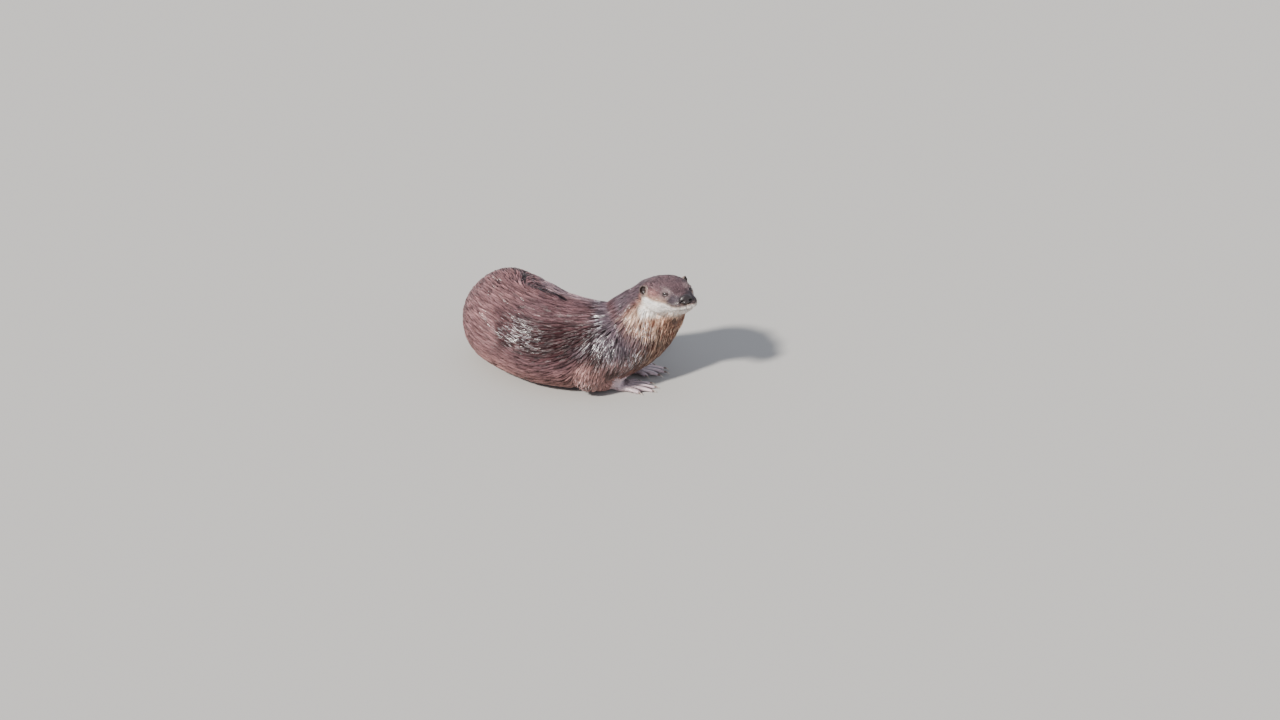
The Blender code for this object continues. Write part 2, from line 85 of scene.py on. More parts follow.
# Where each foot stands and points, and where its toes begin and their claws end, as centimetres
# forward and towards the outer side.
FEET = {
    "foreleg_right": ((6.1, -8.5), (1, -0.06)), "foreleg_left": ((8.1, -1.9), (1, -0.20)),
    "hindleg_right": ((-14.5, 0.95), (1, -0.50)), "hindleg_left": ((-8.7, 6.35), (1, -0.02)),
}
TOES = {
    "fore": [((2.7, -1.3), (5.2, -2.5)), ((3.2, -0.75), (7.5, -1.6)), ((3.3, 0.0), (8.4, -0.1)),
             ((3.2, 0.75), (8.0, 1.45)), ((2.6, 1.35), (5.6, 2.55))],
    "hind": [((4.2, -1.5), (7.4, -2.9)), ((5.0, -0.9), (9.9, -1.9)), ((5.2, -0.1), (11.2, -0.3)),
             ((5.0, 0.75), (11.0, 1.4)), ((4.4, 1.5), (9.2, 2.9))],
}
CLAW_LENGTH = 1.15
# The swellings along a toe: how far out each lies, and its height and reach in centimetres.
KNUCKLES = {0.15: (0.66, 0.38), 0.50: (0.66, 0.42), 0.80: (0.46, 0.38), 0.96: (0.38, 0.34)}


def middle(node):
    low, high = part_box(node)
    return (Vector(low) + Vector(high)) / 2


def head_frame():
    """The skull's own origin between the ears and its forward, left and up directions."""
    eyes = (middle("eye_left") + middle("eye_right")) / 2
    left = (middle("eye_left") - middle("eye_right")).normalized()
    dipped = (middle("nose_pad") - eyes).normalized()
    dipped = (dipped - left * dipped.dot(left)).normalized()
    above = dipped.cross(left)
    forward = dipped * math.cos(NOSE_DROP) + above * math.sin(NOSE_DROP)
    up = forward.cross(left)
    return eyes - forward * HEAD_SIZE - up * 0.42 * CM, forward, left, up


HEAD_PLACE, HEAD_FORWARD, HEAD_LEFT, HEAD_UP = head_frame()
HEAD_AXES = np.array((HEAD_FORWARD, HEAD_LEFT, HEAD_UP))


def to_head(points):
    """Points as centimetres forward, left and up from between the ears."""
    return (points - np.array(HEAD_PLACE)) @ HEAD_AXES.T / CM


def from_head(places):
    return np.array(HEAD_PLACE) + np.asarray(places, float) * CM @ HEAD_AXES


def unit(rows):
    return rows / np.maximum(np.linalg.norm(rows, axis=-1, keepdims=True), 1e-9)


def ramp(values, start, end):
    """Nothing at start, one at end, and smooth between."""
    share = np.clip((values - start) / (end - start), 0, 1)
    return share * share * (3 - 2 * share)


def rows_of(items, name, size=3, kind=np.float32):
    values = np.empty(len(items) * size, dtype=kind)
    items.foreach_get(name, values)
    return values.reshape(-1, size) if size > 1 else values


def object_from(bm, name):
    mesh = bpy.data.meshes.new(name)
    bm.to_mesh(mesh)
    bm.free()
    made = bpy.data.objects.new(name, mesh)
    bpy.context.scene.collection.objects.link(made)
    return made


def settle(obj):
    """Gives the object the mesh that its modifiers make, and clears them."""
    bpy.context.view_layer.update()
    graph = bpy.context.evaluated_depsgraph_get()
    mesh = bpy.data.meshes.new_from_object(obj.evaluated_get(graph))
    obj.modifiers.clear()
    old, obj.data = obj.data, mesh
    bpy.data.meshes.remove(old)


def toe_lines(leg):
    """Each toe of a foot, from its root to the tip of its claw, on the ground, in metres."""
    (x, y), (ahead, aside) = FEET[leg]
    forward = np.array((ahead, aside)) / math.hypot(ahead, aside)
    outer = np.array((-forward[1], forward[0])) * (1 if leg.endswith("left") else -1)
    return [
        [(np.array((x, y)) + forward * spot[0] + outer * spot[1]) * CM for spot in toe]
        for toe in TOES[leg[:4]]
    ]


def add_swelling(bm, place, axes, reach):
    """A ball at the place, stretched along the axes."""
    for vert in bmesh.ops.create_icosphere(bm, subdivisions=3, radius=1)["verts"]:
        local = np.array(vert.co) * reach
        vert.co = Vector(np.array(place) + local @ np.array(axes))


def fused_flesh():
    """The flesh in one bmesh, each solid closed and a little swollen, and each face's node."""
    joined = bmesh.new()
    owners = []
    for number, node in enumerate(FLESH + ["eye_left", "eye_right"]):
        piece = bmesh.new()
        piece.from_mesh(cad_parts[node].data)
        bmesh.ops.remove_doubles(piece, verts=piece.verts, dist=1e-6)
        piece.normal_update()
        for vert, normal in [(vert, vert.normal.copy()) for vert in piece.verts]:
            vert.co += normal * SEAM_OVERLAP
        owners += [FLESH.index("head") if node.startswith("eye") else number] * len(piece.faces)
        holder = bpy.data.meshes.new("holder")
        piece.to_mesh(holder)
        joined.from_mesh(holder)
        bpy.data.meshes.remove(holder)
        piece.free()
    # The knuckles and pads of the toes, fuller than the thinned solids hold them.
    for leg in LEG_NODES:
        for base, claw in toe_lines(leg):
            ahead = (claw - base) / np.linalg.norm(claw - base)
            axes = np.array(((*ahead, 0), (-ahead[1], ahead[0], 0), (0, 0, 1)))
            end = claw - ahead * CLAW_LENGTH * 0.7 * CM
            for share, (high, reach) in KNUCKLES.items():
                spot = (*(base + (end - base) * share), high * CM)
                add_swelling(joined, spot, axes, np.array((reach * 1.6, reach, reach)) * CM)
        joined.faces.ensure_lookup_table()
        owners += [FLESH.index(leg)] * (len(joined.faces) - len(owners))
    return joined, owners


def refine(mesh, wanted):
    """Splits every edge whose two ends are wanted."""
    bm = bmesh.new()
    bm.from_mesh(mesh)
    bm.verts.ensure_lookup_table()
    edges = [edge for edge in bm.edges if wanted[edge.verts[0].index] and wanted[edge.verts[1].index]]
    bmesh.ops.subdivide_edges(bm, edges=edges, cuts=1, use_grid_fill=True, use_only_quads=False)
    bm.to_mesh(mesh)
    bm.free()


def near_any(points, places, reach):
    """Which points lie within reach of any of the places."""
    found = np.zeros(len(points), bool)
    for place in places:
        found |= np.linalg.norm(points - np.array(place), axis=1) < reach
    return found


flesh, face_owner = fused_flesh()
whose = BVHTree.FromBMesh(flesh)
skin = object_from(flesh, "skin")
step = skin.modifiers.new("fuse", "REMESH")
step.mode = "VOXEL"
step.voxel_size = SKIN_GRID
settle(skin)
points = rows_of(skin.data.vertices, "co").astype(float)
# The finer mesh covers the face and reaches this far round the toes, eyes and ears.
FACE_START, FACE_END, FACE_LOW = -1.0, 10, -5.5  # in head centimetres
FINE_TOES, FINE_EYES, FINE_EARS = 5.2 * CM, 1.15 * CM, 1.2 * CM
toes = [
    np.array(LEG_LINES[leg][-1]) * CM * 0.6 + np.array(LEG_LINES[leg][-2]) * CM * 0.4 for leg in LEG_NODES
]
in_head = to_head(points)
on_face = (in_head[:, 0] > FACE_START) & (in_head[:, 0] < FACE_END) & (in_head[:, 2] > FACE_LOW)
refine(skin.data, on_face | near_any(points, toes, FINE_TOES))
points = rows_of(skin.data.vertices, "co").astype(float)
near_eyes = near_any(points, [middle("eye_left"), middle("eye_right")], FINE_EYES)
near_ears = near_any(points, [middle(ear) for ear in EAR_NODES], FINE_EARS)
refine(skin.data, near_eyes | near_ears)


class Net:
    """The skin's points and the edges between them, for passing values from each point to its neighbours."""

    def __init__(self, mesh):
        self.ends = rows_of(mesh.edges, "vertices", 2, np.int32)
        self.count = len(mesh.vertices)
        self.number = np.bincount(self.ends.ravel(), minlength=self.count)[:, None]

    def around(self, values):
        """The mean of each point's neighbours."""
        first, second = self.ends.T
        total = [
            np.bincount(first, column[second], self.count) + np.bincount(second, column[first], self.count)
            for column in values.T
        ]
        return np.stack(total, axis=1) / self.number

    def spread(self, values, passes, share=0.5):
        column = values.ndim == 1
        values = values[:, None] if column else values
        for _ in range(passes):
            values = values + (self.around(values) - values) * share
        return values[:, 0] if column else values


net = Net(skin.data)
points = rows_of(skin.data.vertices, "co").astype(float)
owner = np.array([face_owner[whose.find_nearest(Vector(point))[2]] for point in points])

SPINE_COUNT = len(SPINE_NODES)
is_leg = (owner >= SPINE_COUNT) & (owner < SPINE_COUNT + 4)
is_ear = owner >= SPINE_COUNT + 4


def smooth_line(places, steps=12):
    """A smooth line through the places, in metres: its points and its directions."""
    places = np.array(places) * CM
    ends = np.vstack((2 * places[0] - places[1], places, 2 * places[-1] - places[-2]))
    share = np.linspace(0, 1, steps, endpoint=False)[:, None]
    line = []
    for a, b, c, d in zip(ends, ends[1:], ends[2:], ends[3:]):
        line.append(0.5 * (2 * b + (c - a) * share + (2 * a - 5 * b + 4 * c - d) * share**2
                           + (3 * b - a - 3 * c + d) * share**3))
    line = np.vstack(line + [places[-1:]])
    return line, unit(np.gradient(line, axis=0))


def nearest_on(line, points):
    """The number of the line's point nearest to each point."""
    best = np.full(len(points), np.inf)
    chosen = np.zeros(len(points), int)
    for number, place in enumerate(line):
        far = np.sum((points - place) ** 2, axis=1)
        closer = far < best
        best[closer], chosen[closer] = far[closer], number
    return chosen


# Where each point lies along the backbone, as the number of the nearest point of that line, or
# how far down its leg, and the way the hair there runs. A point looks only at its own node's
# stretch of the backbone, because the otter lies curled with its tail beside its back.
spine_line, spine_way = smooth_line(BACKBONE)
marks = [int(np.argmin(np.linalg.norm(spine_line - np.array(middle(node)), axis=1))) for node in SPINE_NODES]
marks = [0] + marks + [len(spine_line) - 1]
along = np.zeros(len(points), int)
for number in range(SPINE_COUNT):
    mine = owner == number
    start, stop = marks[number], marks[number + 2] + 1
    along[mine] = start + nearest_on(spine_line[start:stop], points[mine])
mine = is_leg | is_ear
along[mine] = nearest_on(spine_line[: marks[7]], points[mine])
flow = spine_way[along].copy()
leg_share = np.zeros(len(points))
for number, leg in enumerate(LEG_NODES):
    line, way = smooth_line(LEG_LINES[leg])
    mine = owner == SPINE_COUNT + number
    spot = nearest_on(line, points[mine])
    flow[mine] = way[spot]
    leg_share[mine] = spot / (len(line) - 1)
in_head = to_head(points)
foot = ramp(leg_share, 0.62, 0.80)

# Loose skin smooths the facets of the flesh: most on the trunk, least on the toes, face and ears.
SMOOTHING = {"trunk": 60, "leg": 30, "foot": 5, "face": 10, "ear": 2}
face = ramp(in_head[:, 0], -2.0, 1.5) * (owner == 0)
passes = np.full(len(points), float(SMOOTHING["trunk"]))
passes[is_leg] = SMOOTHING["leg"] + (SMOOTHING["foot"] - SMOOTHING["leg"]) * foot[is_leg]
passes += (SMOOTHING["face"] - passes) * face
passes[is_ear] = SMOOTHING["ear"]
passes = net.spread(passes, 12)
for number in range(SMOOTHING["trunk"]):
    share = np.clip(passes - number, 0, 1)[:, None]
    points += (net.around(points) - points) * 0.50 * share
    points -= (net.around(points) - points) * 0.52 * share
# The throat is one smooth slack curve from chin to chest.
THROAT_SPOT, THROAT_REACH, THROAT_PASSES = (3.4, 0.0, -6.2), (4.2, 4.6, 3.6), 80
throat = np.exp(-np.sum(((in_head - THROAT_SPOT) / THROAT_REACH) ** 4, axis=1))[:, None]
for _ in range(THROAT_PASSES):
    points += (net.around(points) - points) * 0.5 * throat


def from_segment(places, start, stop):
    """How far each place is from the line between start and stop."""
    start, along = np.array(start), np.subtract(stop, start)
    share = np.clip((places - start) @ along / (along @ along), 0, 1)
    return np.linalg.norm(places - start - share[:, None] * along, axis=1)


def soft(mask, passes=14):
    """A region's mask with a soft edge."""
    return net.spread(np.asarray(mask, float), passes)


# How far down from the back each point lies (-1 above the backbone, 1 below it), and how far
# along from the nose, in centimetres.
way = spine_way[along]
belly = unit(way * way[:, 2:3] - np.array((0, 0, 1)))
under = np.sum(unit(points - spine_line[along]) * belly, axis=1)
spine_cm = np.concatenate(([0], np.cumsum(np.linalg.norm(np.diff(spine_line, axis=0), axis=1)))) / CM
spine_at = net.spread(spine_cm[along], 6)

# How deep the skin lies under the ends of the fur, in millimetres.
DEPTH = {
    "trunk": 4.6, "neck": 4.2, "tail_tip": 1.8, "crown": 3.0, "muzzle": 1.3, "foot": 1.0, "toe": 1.9,
    "ear": 0.7,
}
depth = np.full(len(points), DEPTH["trunk"])
depth[owner == 1] = DEPTH["neck"]
tail_share = ramp(along, marks[7], len(spine_line) - 1) * (owner >= 6) * (owner < SPINE_COUNT)
depth += (DEPTH["tail_tip"] - depth) * tail_share
head_depth = DEPTH["crown"] + (DEPTH["muzzle"] - DEPTH["crown"]) * ramp(in_head[:, 0], 0, 6)
depth[owner == 0] = head_depth[owner == 0]
depth[is_leg] += (DEPTH["foot"] - depth[is_leg]) * ramp(leg_share, 0.2, 0.75)[is_leg]
depth[is_leg] += (DEPTH["toe"] - DEPTH["foot"]) * ramp(leg_share, 0.84, 0.90)[is_leg]
depth[is_ear] = DEPTH["ear"]
NECK_FOLD, FOLD_WIDTH, FOLD_DEPTH = 21.9, 0.9, 3.2  # centimetres along the back, and millimetres deep
fold = np.exp(-(((spine_at - NECK_FOLD) / FOLD_WIDTH) ** 2)) * (1 - ramp(under, 0.1, 0.6)) * (owner > 0)
depth += fold * FOLD_DEPTH


def far_from(place):
    """How far each point of the skin is from the place, in centimetres."""
    return np.linalg.norm(points / CM - place, axis=1)


# The elbow sinks into the belly's side, and the throat is drawn in on the side it turns from.
ELBOW_PLACE, ELBOW_REACH, ELBOW_TUCK = (2.2, -13.6, 1.6), 4.2, 5.0
depth += np.exp(-((far_from(ELBOW_PLACE) / ELBOW_REACH) ** 4)) * ELBOW_TUCK
THROAT_TUCK = 4.0
depth += throat[:, 0] * (in_head[:, 1] > -1.0) * THROAT_TUCK
# The crevice between the back and the tail that lies along it, its line and width in centimetres.
CREVICE_LINE, CREVICE_WIDTH, CREVICE_DEPTH = ((-5.7, 1.9, 14.6), (-2.1, -2.2, 14.6)), 0.92, 6.0
crevice = np.exp(-((from_segment(points / CM, *CREVICE_LINE) / CREVICE_WIDTH) ** 4))
depth += crevice * CREVICE_DEPTH
depth = net.spread(depth, 12) / 1000


def set_places(obj, points):
    obj.data.vertices.foreach_set("co", points.astype(np.float32).ravel())
    obj.data.update()


def normals_of(obj):
    return rows_of(obj.data.vertex_normals, "vector").astype(float)


set_places(skin, points)
points -= normals_of(skin) * depth[:, None]
set_places(skin, points)

# The face on both sides of the skull: place, reach and push of each swelling or hollow, in head
# centimetres, the last in millimetres outwards.
FACE_FORMS = {
    "brow": ((4.9, 1.9, 1.2), (1.1, 0.8, 0.45), 1.3),
    "hollow_before_eye": ((6.4, 1.9, 0.1), (0.7, 0.6, 0.5), -1.4),
    "temple": ((3.1, 3.2, 0.7), (0.9, 0.9, 0.7), -1.0),
    "cheekbone": ((4.6, 2.9, -0.7), (1.2, 0.8, 0.45), 0.8),
    "whisker_pad": ((7.6, 1.5, -0.9), (1.0, 0.9, 0.8), 1.4),
    "jowl": ((2.4, 3.7, -2.4), (1.8, 1.2, 1.3), 1.0),
    "lip_cleft": ((8.8, 0.0, -1.4), (0.6, 0.14, 0.6), -1.2),
}
# The creases of a face screwed up against the sun: from, to, width and depth in head centimetres.
CREASES = [
    ((4.85, 2.72, 0.33), (3.70, 3.15, 0.15), 0.17, 0.10),
    ((5.80, 2.10, 0.66), (6.30, 2.35, -0.10), 0.17, 0.11),
    ((6.25, 2.42, -0.40), (5.75, 2.70, -0.85), 0.16, 0.10),
]
in_head = to_head(points)
out = normals_of(skin)
mirrored = in_head * (1, 0, 1) + np.abs(in_head) * (0, 1, 0)
creased = np.zeros(len(points))
push = np.zeros(len(points))
for start, stop, wide, deep in CREASES:
    crease = np.exp(-((from_segment(mirrored, start, stop) / wide) ** 2))
    creased = np.maximum(creased, crease)
    push -= crease * deep * 10
for place, reach, amount in FACE_FORMS.values():
    push += amount * np.exp(-np.sum(((mirrored - place) / reach) ** 2, axis=1))
# The mouth runs back from under the nose to below the eye, with the lip's edge rolled over it.
LIP_BACK, LIP_FRONT = 4.7, 9.2
lip = mirrored[:, 2] - (-2.05 + 0.06 * (mirrored[:, 0] - LIP_BACK))
on_lip = ramp(mirrored[:, 0], LIP_BACK - 0.5, LIP_BACK + 0.5) * (mirrored[:, 0] < LIP_FRONT + 1)
mouth = on_lip * np.exp(-((lip / 0.15) ** 2))
push += on_lip * (-2.4 * np.exp(-((lip / 0.16) ** 2)) + 0.9 * np.exp(-(((lip - 0.36) / 0.24) ** 2)))
points += out * (push * face / 1000)[:, None]

# The lids lie over the ball of the eye and part along a narrow slit, half closed against the sun.
EYE_SUNK = 0.10  # the ball sits this far deeper than its solid, under the lids
EYE_RADIUS = (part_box("eye_left")[1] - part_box("eye_left")[0])[2] / 2 / CM
SLIT_LENGTH, SLIT_HEIGHT, LID_THICKNESS = 0.66, 0.13, 0.10
slit_way = unit(np.array((0.865, -0.42, 0.20)))
eye_out = np.array((0.45, 0.84, 0.30))
eye_out = unit(eye_out - slit_way * eye_out.dot(slit_way))
EYE_SPOT = np.array((5.2, 2.3, 0.42)) - eye_out * EYE_SUNK
slit_up = np.cross(eye_out, slit_way)
slit_up *= np.sign(slit_up[2])
in_head = to_head(points)
side = np.where(in_head[:, 1] > 0, 1.0, -1.0)
mirrored = in_head * (1, 0, 1) + np.abs(in_head) * (0, 1, 0)
from_eye = mirrored - EYE_SPOT
gap = np.linalg.norm(from_eye, axis=1)
across, above, outward = from_eye @ slit_way, from_eye @ slit_up, from_eye @ eye_out
lid = (1 - ramp(np.hypot(across / 0.80, above / 0.62), 0.75, 1.7)) * (outward > 0) * (gap < 1.6)
slit = np.hypot(across / SLIT_LENGTH, (above + 0.05 * (across / SLIT_LENGTH) ** 2) / SLIT_HEIGHT)
open_eye = (1 - ramp(slit, 0.80, 1.15)) * (outward > 0) * (gap < 1.2)
lid_edge = np.exp(-(((slit - 1.45) / 0.35) ** 2)) * lid
radius = gap + (EYE_RADIUS + LID_THICKNESS - gap) * lid - 0.24 * open_eye + 0.035 * lid_edge
mirrored = EYE_SPOT + from_eye * (radius / np.maximum(gap, 1e-6))[:, None]

# Each ear is a small round cup that faces forwards and outwards, its rim a thin fold.
EAR_SPOT = np.array((-0.1, 4.05, -0.25))
EAR_FACING = unit(np.array((0.72, 0.66, 0.12)))
EAR_WIDE, EAR_HIGH, EAR_NEAR = 0.78, 0.86, 1.4
ear_up = unit(np.array((0, 0, 1)) - EAR_FACING * EAR_FACING[2])
ear_side = np.cross(EAR_FACING, ear_up)
from_ear = mirrored - EAR_SPOT
near_ear = np.linalg.norm(from_ear, axis=1) < EAR_NEAR
cup = np.hypot(from_ear @ ear_side / EAR_WIDE, from_ear @ ear_up / EAR_HIGH)
in_front = (from_ear @ EAR_FACING > -0.15) & near_ear
ear_hole = (1 - ramp(cup, 0.50, 1.05)) * in_front
ear_rim = np.exp(-(((cup - 1.12) / 0.16) ** 2)) * in_front
mirrored += EAR_FACING * (0.10 * ear_rim - 0.50 * ear_hole)[:, None]
touched = (face > 0) | is_ear | near_ear
moved = from_head(mirrored * np.stack((np.ones(len(side)), side, np.ones(len(side))), axis=1))
points = np.where(touched[:, None], moved, points)
set_places(skin, points)
out = normals_of(skin)

# The lie of the coat: along the back and legs, falling a little on the flanks and more on the
# throat, arms and shoulders, and smooth from place to place. Over the curled rump the hair runs
# outwards as well as back, and it stands up in a rough tussock where the tail leaves the rump.
DROOP, THROAT_FALL, SHOULDER_FALL = 0.22, 1.6, 0.9
RUMP_SWEEP, ARM_FALL = np.array((-1.5, 1.5, 0.7)), np.array((-0.25, 0.0, -1.0))
TUSSOCK_PLACE, TUSSOCK_REACH, TUSSOCK_WAY = (-8.0, 3.8, 14.1), 3.0, np.array((1.0, -0.3, -0.9))
FLOW_PASSES = 40
on_trunk = (owner > 0) & (owner < 6)
flow[:, 2] -= DROOP * on_trunk
curled = ramp(-points[:, 0] / CM, 5.5, 11) * (owner > 2) * (owner < 6) * (1 - ramp(points[:, 1] / CM, 6, 10))
flow += RUMP_SWEEP * curled[:, None]
tussock = np.exp(-((far_from(TUSSOCK_PLACE) / TUSSOCK_REACH) ** 4))
flow += TUSSOCK_WAY * (tussock * 2.0)[:, None]
in_head = to_head(points)
on_throat = soft((owner <= 1) & (in_head[:, 2] < -3.2) & (in_head[:, 0] > -1.5), 20)
flow[:, 2] -= THROAT_FALL * on_throat
falling = is_leg * (points[:, 0] > 0) * (1 - ramp(leg_share, 0.42, 0.60))
flow += (ARM_FALL - flow) * (falling * 0.85)[:, None]
on_shoulder = ramp(spine_at, 15, 20) * (1 - ramp(spine_at, 25, 31)) * (owner < 4)
flow[:, 2] -= SHOULDER_FALL * on_shoulder * ramp(under, -0.95, -0.5)
for _ in range(FLOW_PASSES):
    flow = unit(flow - out * np.sum(flow * out, axis=1)[:, None])
    flow = flow + (net.around(flow) - flow) * 0.6
flow = unit(flow - out * np.sum(flow * out, axis=1)[:, None])


def linear(code):
    """An sRGB hex colour as the linear one that the shaders take."""
    values = np.array([int(code[n:n + 2], 16) for n in (1, 3, 5)]) / 255
    return np.where(values <= 0.04045, values / 12.92, ((values + 0.055) / 1.055) ** 2.4)


def mix(low, high, share):
    return low + (high - low) * np.clip(share, 0, 1)[:, None]


# The markings: brown above and darkest on the wet flank, greyer on shoulder and neck, partly a painted sheen
# of sky light on the wet hair, a tan throat, and near-white cheeks and lips. Some of them are painted light
# and shade: a lit top on the tail, shade beside it and between the toes, and shade in the creases round the
# eyes.
BACK, RUMP, FLANK = linear("#64494c"), linear("#735354"), linear("#2f1517")
BELLY, SHOULDER, ARM, TAIL = linear("#8a645f"), linear("#584a51"), linear("#9b736e"), linear("#86666a")
THROAT, THROAT_PALE, CHEEK = linear("#4a271b"), linear("#d8b49b"), linear("#fffbf5")
CROWN, TEMPLE, MUZZLE = linear("#604a4e"), linear("#8a6260"), linear("#4c4248")
TAIL_TOP_LIT, SHADOW, GLINT_WHITE = linear("#a08488"), linear("#150e0f"), linear("#fbf8fb")
NECK_RED, TUSSOCK, TUSSOCK_DARK = linear("#5f3c3b"), linear("#63474a"), linear("#3c1c1e")
ARMPIT, CREVICE_SHADE, TOE_GAP_SHADE = linear("#2c1613"), linear("#2c1b19"), linear("#58454a")
THROAT_GOLD, CHIN_SHADE, FOOT = linear("#7a4937"), linear("#3a2a20"), linear("#e6ced3")
EAR_INSIDE, LID_AND_CREASE_SHADE, MOUTH = linear("#2a1b18"), linear("#2c201f"), linear("#4a3634")
EAR_RIM, EYE_PALE = linear("#b09a90"), linear("#a08c8c")
in_head = to_head(points)
x, z = in_head[:, 0], in_head[:, 2]
y = np.abs(in_head[:, 1])
rng = np.random.default_rng(41)


def patches(passes):
    """A smooth random field over the skin, about one in size."""
    field = net.spread(rng.normal(size=len(points)), passes)
    return np.clip(field / field.std(), -2, 2)


def band(values, start, full, still, stop):
    """Nothing before start, one between full and still, and nothing after stop."""
    return ramp(values, start, full) * (1 - ramp(values, still, stop))


mottle = patches(8)
# The dark patches of each upper arm and forearm: place and reach in centimetres, on the right.
ARM_PATCHES = ((3.4, -13.8, 8.3), (1.7, 4.0, 2.3)), ((6.3, -13.3, 5.0), (2.1, 3.5, 1.7))
BETWEEN_ARMS = -5.5
mirror_y = np.where(points[:, 1] < BETWEEN_ARMS * CM, points[:, 1], 2 * BETWEEN_ARMS * CM - points[:, 1])
on_right = np.stack((points[:, 0], mirror_y, points[:, 2]), axis=1) / CM
arm_dark = np.zeros(len(points))
for spot, reach in ARM_PATCHES:
    arm_dark += np.exp(-np.sum(((on_right - spot) / np.array(reach)) ** 2, axis=1))
arm_dark = np.clip(arm_dark, 0, 1)
# Where the hair is wettest: the film of water is thickest there, and some tufts get white tips painted on as
# painted highlights, glints of water that look the same from every side. Each row gives the place and reach
# along the back and round from it, and how much of the hair carries a painted glint. The right elbow has
# them too.
WET_GLINT_PLACES = [
    ((36.1, -0.45), (3.2, 0.22), 0.60), ((24.8, -0.25), (2.1, 0.42), 0.85),
    ((16.8, -0.20), (2.0, 0.40), 0.85), ((21.5, 0.25), (2.2, 0.30), 0.85),
    ((23.8, -0.80), (1.0, 0.20), 0.85),
]
WET_GLINT_ELBOW, WET_GLINT_ELBOW_REACH = (1.6, -14.2, 3.2), 1.9
wet_and_glint = np.zeros(len(points))
for (spot_along, spot_round), (reach_along, reach_round), share in WET_GLINT_PLACES:
    apart = ((spine_at - spot_along) / reach_along) ** 2 + ((under - spot_round) / reach_round) ** 2
    wet_and_glint = np.maximum(wet_and_glint, share * np.exp(-apart))
on_elbow = 0.7 * np.exp(-((far_from(WET_GLINT_ELBOW) / WET_GLINT_ELBOW_REACH) ** 2))
wet_and_glint = np.maximum(wet_and_glint, on_elbow) * (1 - crevice) * (1 - 0.85 * arm_dark)
water = 0.30 - 0.28 * ramp(spine_at, 25, 28) * (1 - ramp(spine_at, 33, 36))
water = np.clip(water + 0.9 * wet_and_glint, 0, 1)
drift = patches(60) * 3  # the edges of the markings wander by a few centimetres
on_neck, on_leg = soft(owner <= 1, 40), soft(is_leg, 24)
on_tail = soft((owner >= 6) & (owner < SPINE_COUNT), 30)
on_head = soft((owner == 0) | is_ear, 10)
top = on_head * ramp(x, -3.5, -1.0)
# The dark root of the tussock, the painted shade in the hollow beside the tail, and the pale strip along it,
# a painted band of light on the tail's top.
TUSSOCK_ROOT, TUSSOCK_ROOT_REACH = (-7.3, 2.0, 14.4), 1.5
LIT_STRIP_LINE, LIT_STRIP_WIDTH = ((-3.8, 1.6, 14.2), (2.0, -1.6, 14.2)), 1.5
tussock_root = np.exp(-((far_from(TUSSOCK_ROOT) / TUSSOCK_ROOT_REACH) ** 2))
hollow = ramp(points[:, 0] / CM, -6.8, -5.2) * (1 - ramp(points[:, 0] / CM, -2.4, 0.2))
lit_strip = np.exp(-((from_segment(points / CM, *LIT_STRIP_LINE) / LIT_STRIP_WIDTH) ** 4))
RED_BAND, RED_BAND_WIDTH = 20.3, 1.1
red_band = np.exp(-(((spine_at - RED_BAND) / RED_BAND_WIDTH) ** 2))
red_band = red_band * (1 - ramp(under, 0.2, 0.7)) * (owner > 0)
low_arm = on_leg * ramp(spine_at, 16, 20) * (1 - ramp(spine_at, 30, 34))
low_arm = low_arm * (1 - ramp(points[:, 2] / CM, 5.5, 9.5))
throat_front = ramp(under, -0.05, 0.55) * (1 - ramp(spine_at, 21, 28)) * (1 - on_leg)
edge_below = -4.9 + 0.35 * x - z  # how far below the white the throat's pale strands reach
chin_shade = np.exp(-(((x - 3.4) / 1.9) ** 2) - (y / 1.8) ** 2 - ((z + 5.4) / 1.4) ** 2)
white = on_head * (1 - ramp(y, 4.9, 5.6)) * ramp(x, -0.9, 0.3) * (1 - ramp(z, -1.45, -0.85))
fringe = ramp(edge_below, -1.4, 0.2) * (1 - ramp(edge_below, 2.0, 9.0)) * ramp(x, -2.6, -0.4) * on_neck
fringe = np.maximum(fringe, 0.4 * throat_front * (1 - ramp(spine_at, 19, 24))) * (1 - chin_shade)
# Painted shade between the toes: the foot darkens away from each toe's line.
toe_far = np.full(len(points), np.inf)
for leg in LEG_NODES:
    for base, claw in toe_lines(leg):
        toe_far = np.minimum(toe_far, from_segment(points[:, :2] / CM, base / CM, claw / CM))
shade_between_toes = is_leg * ramp(toe_far, 0.26, 0.52) * ramp(leg_share, 0.80, 0.86)
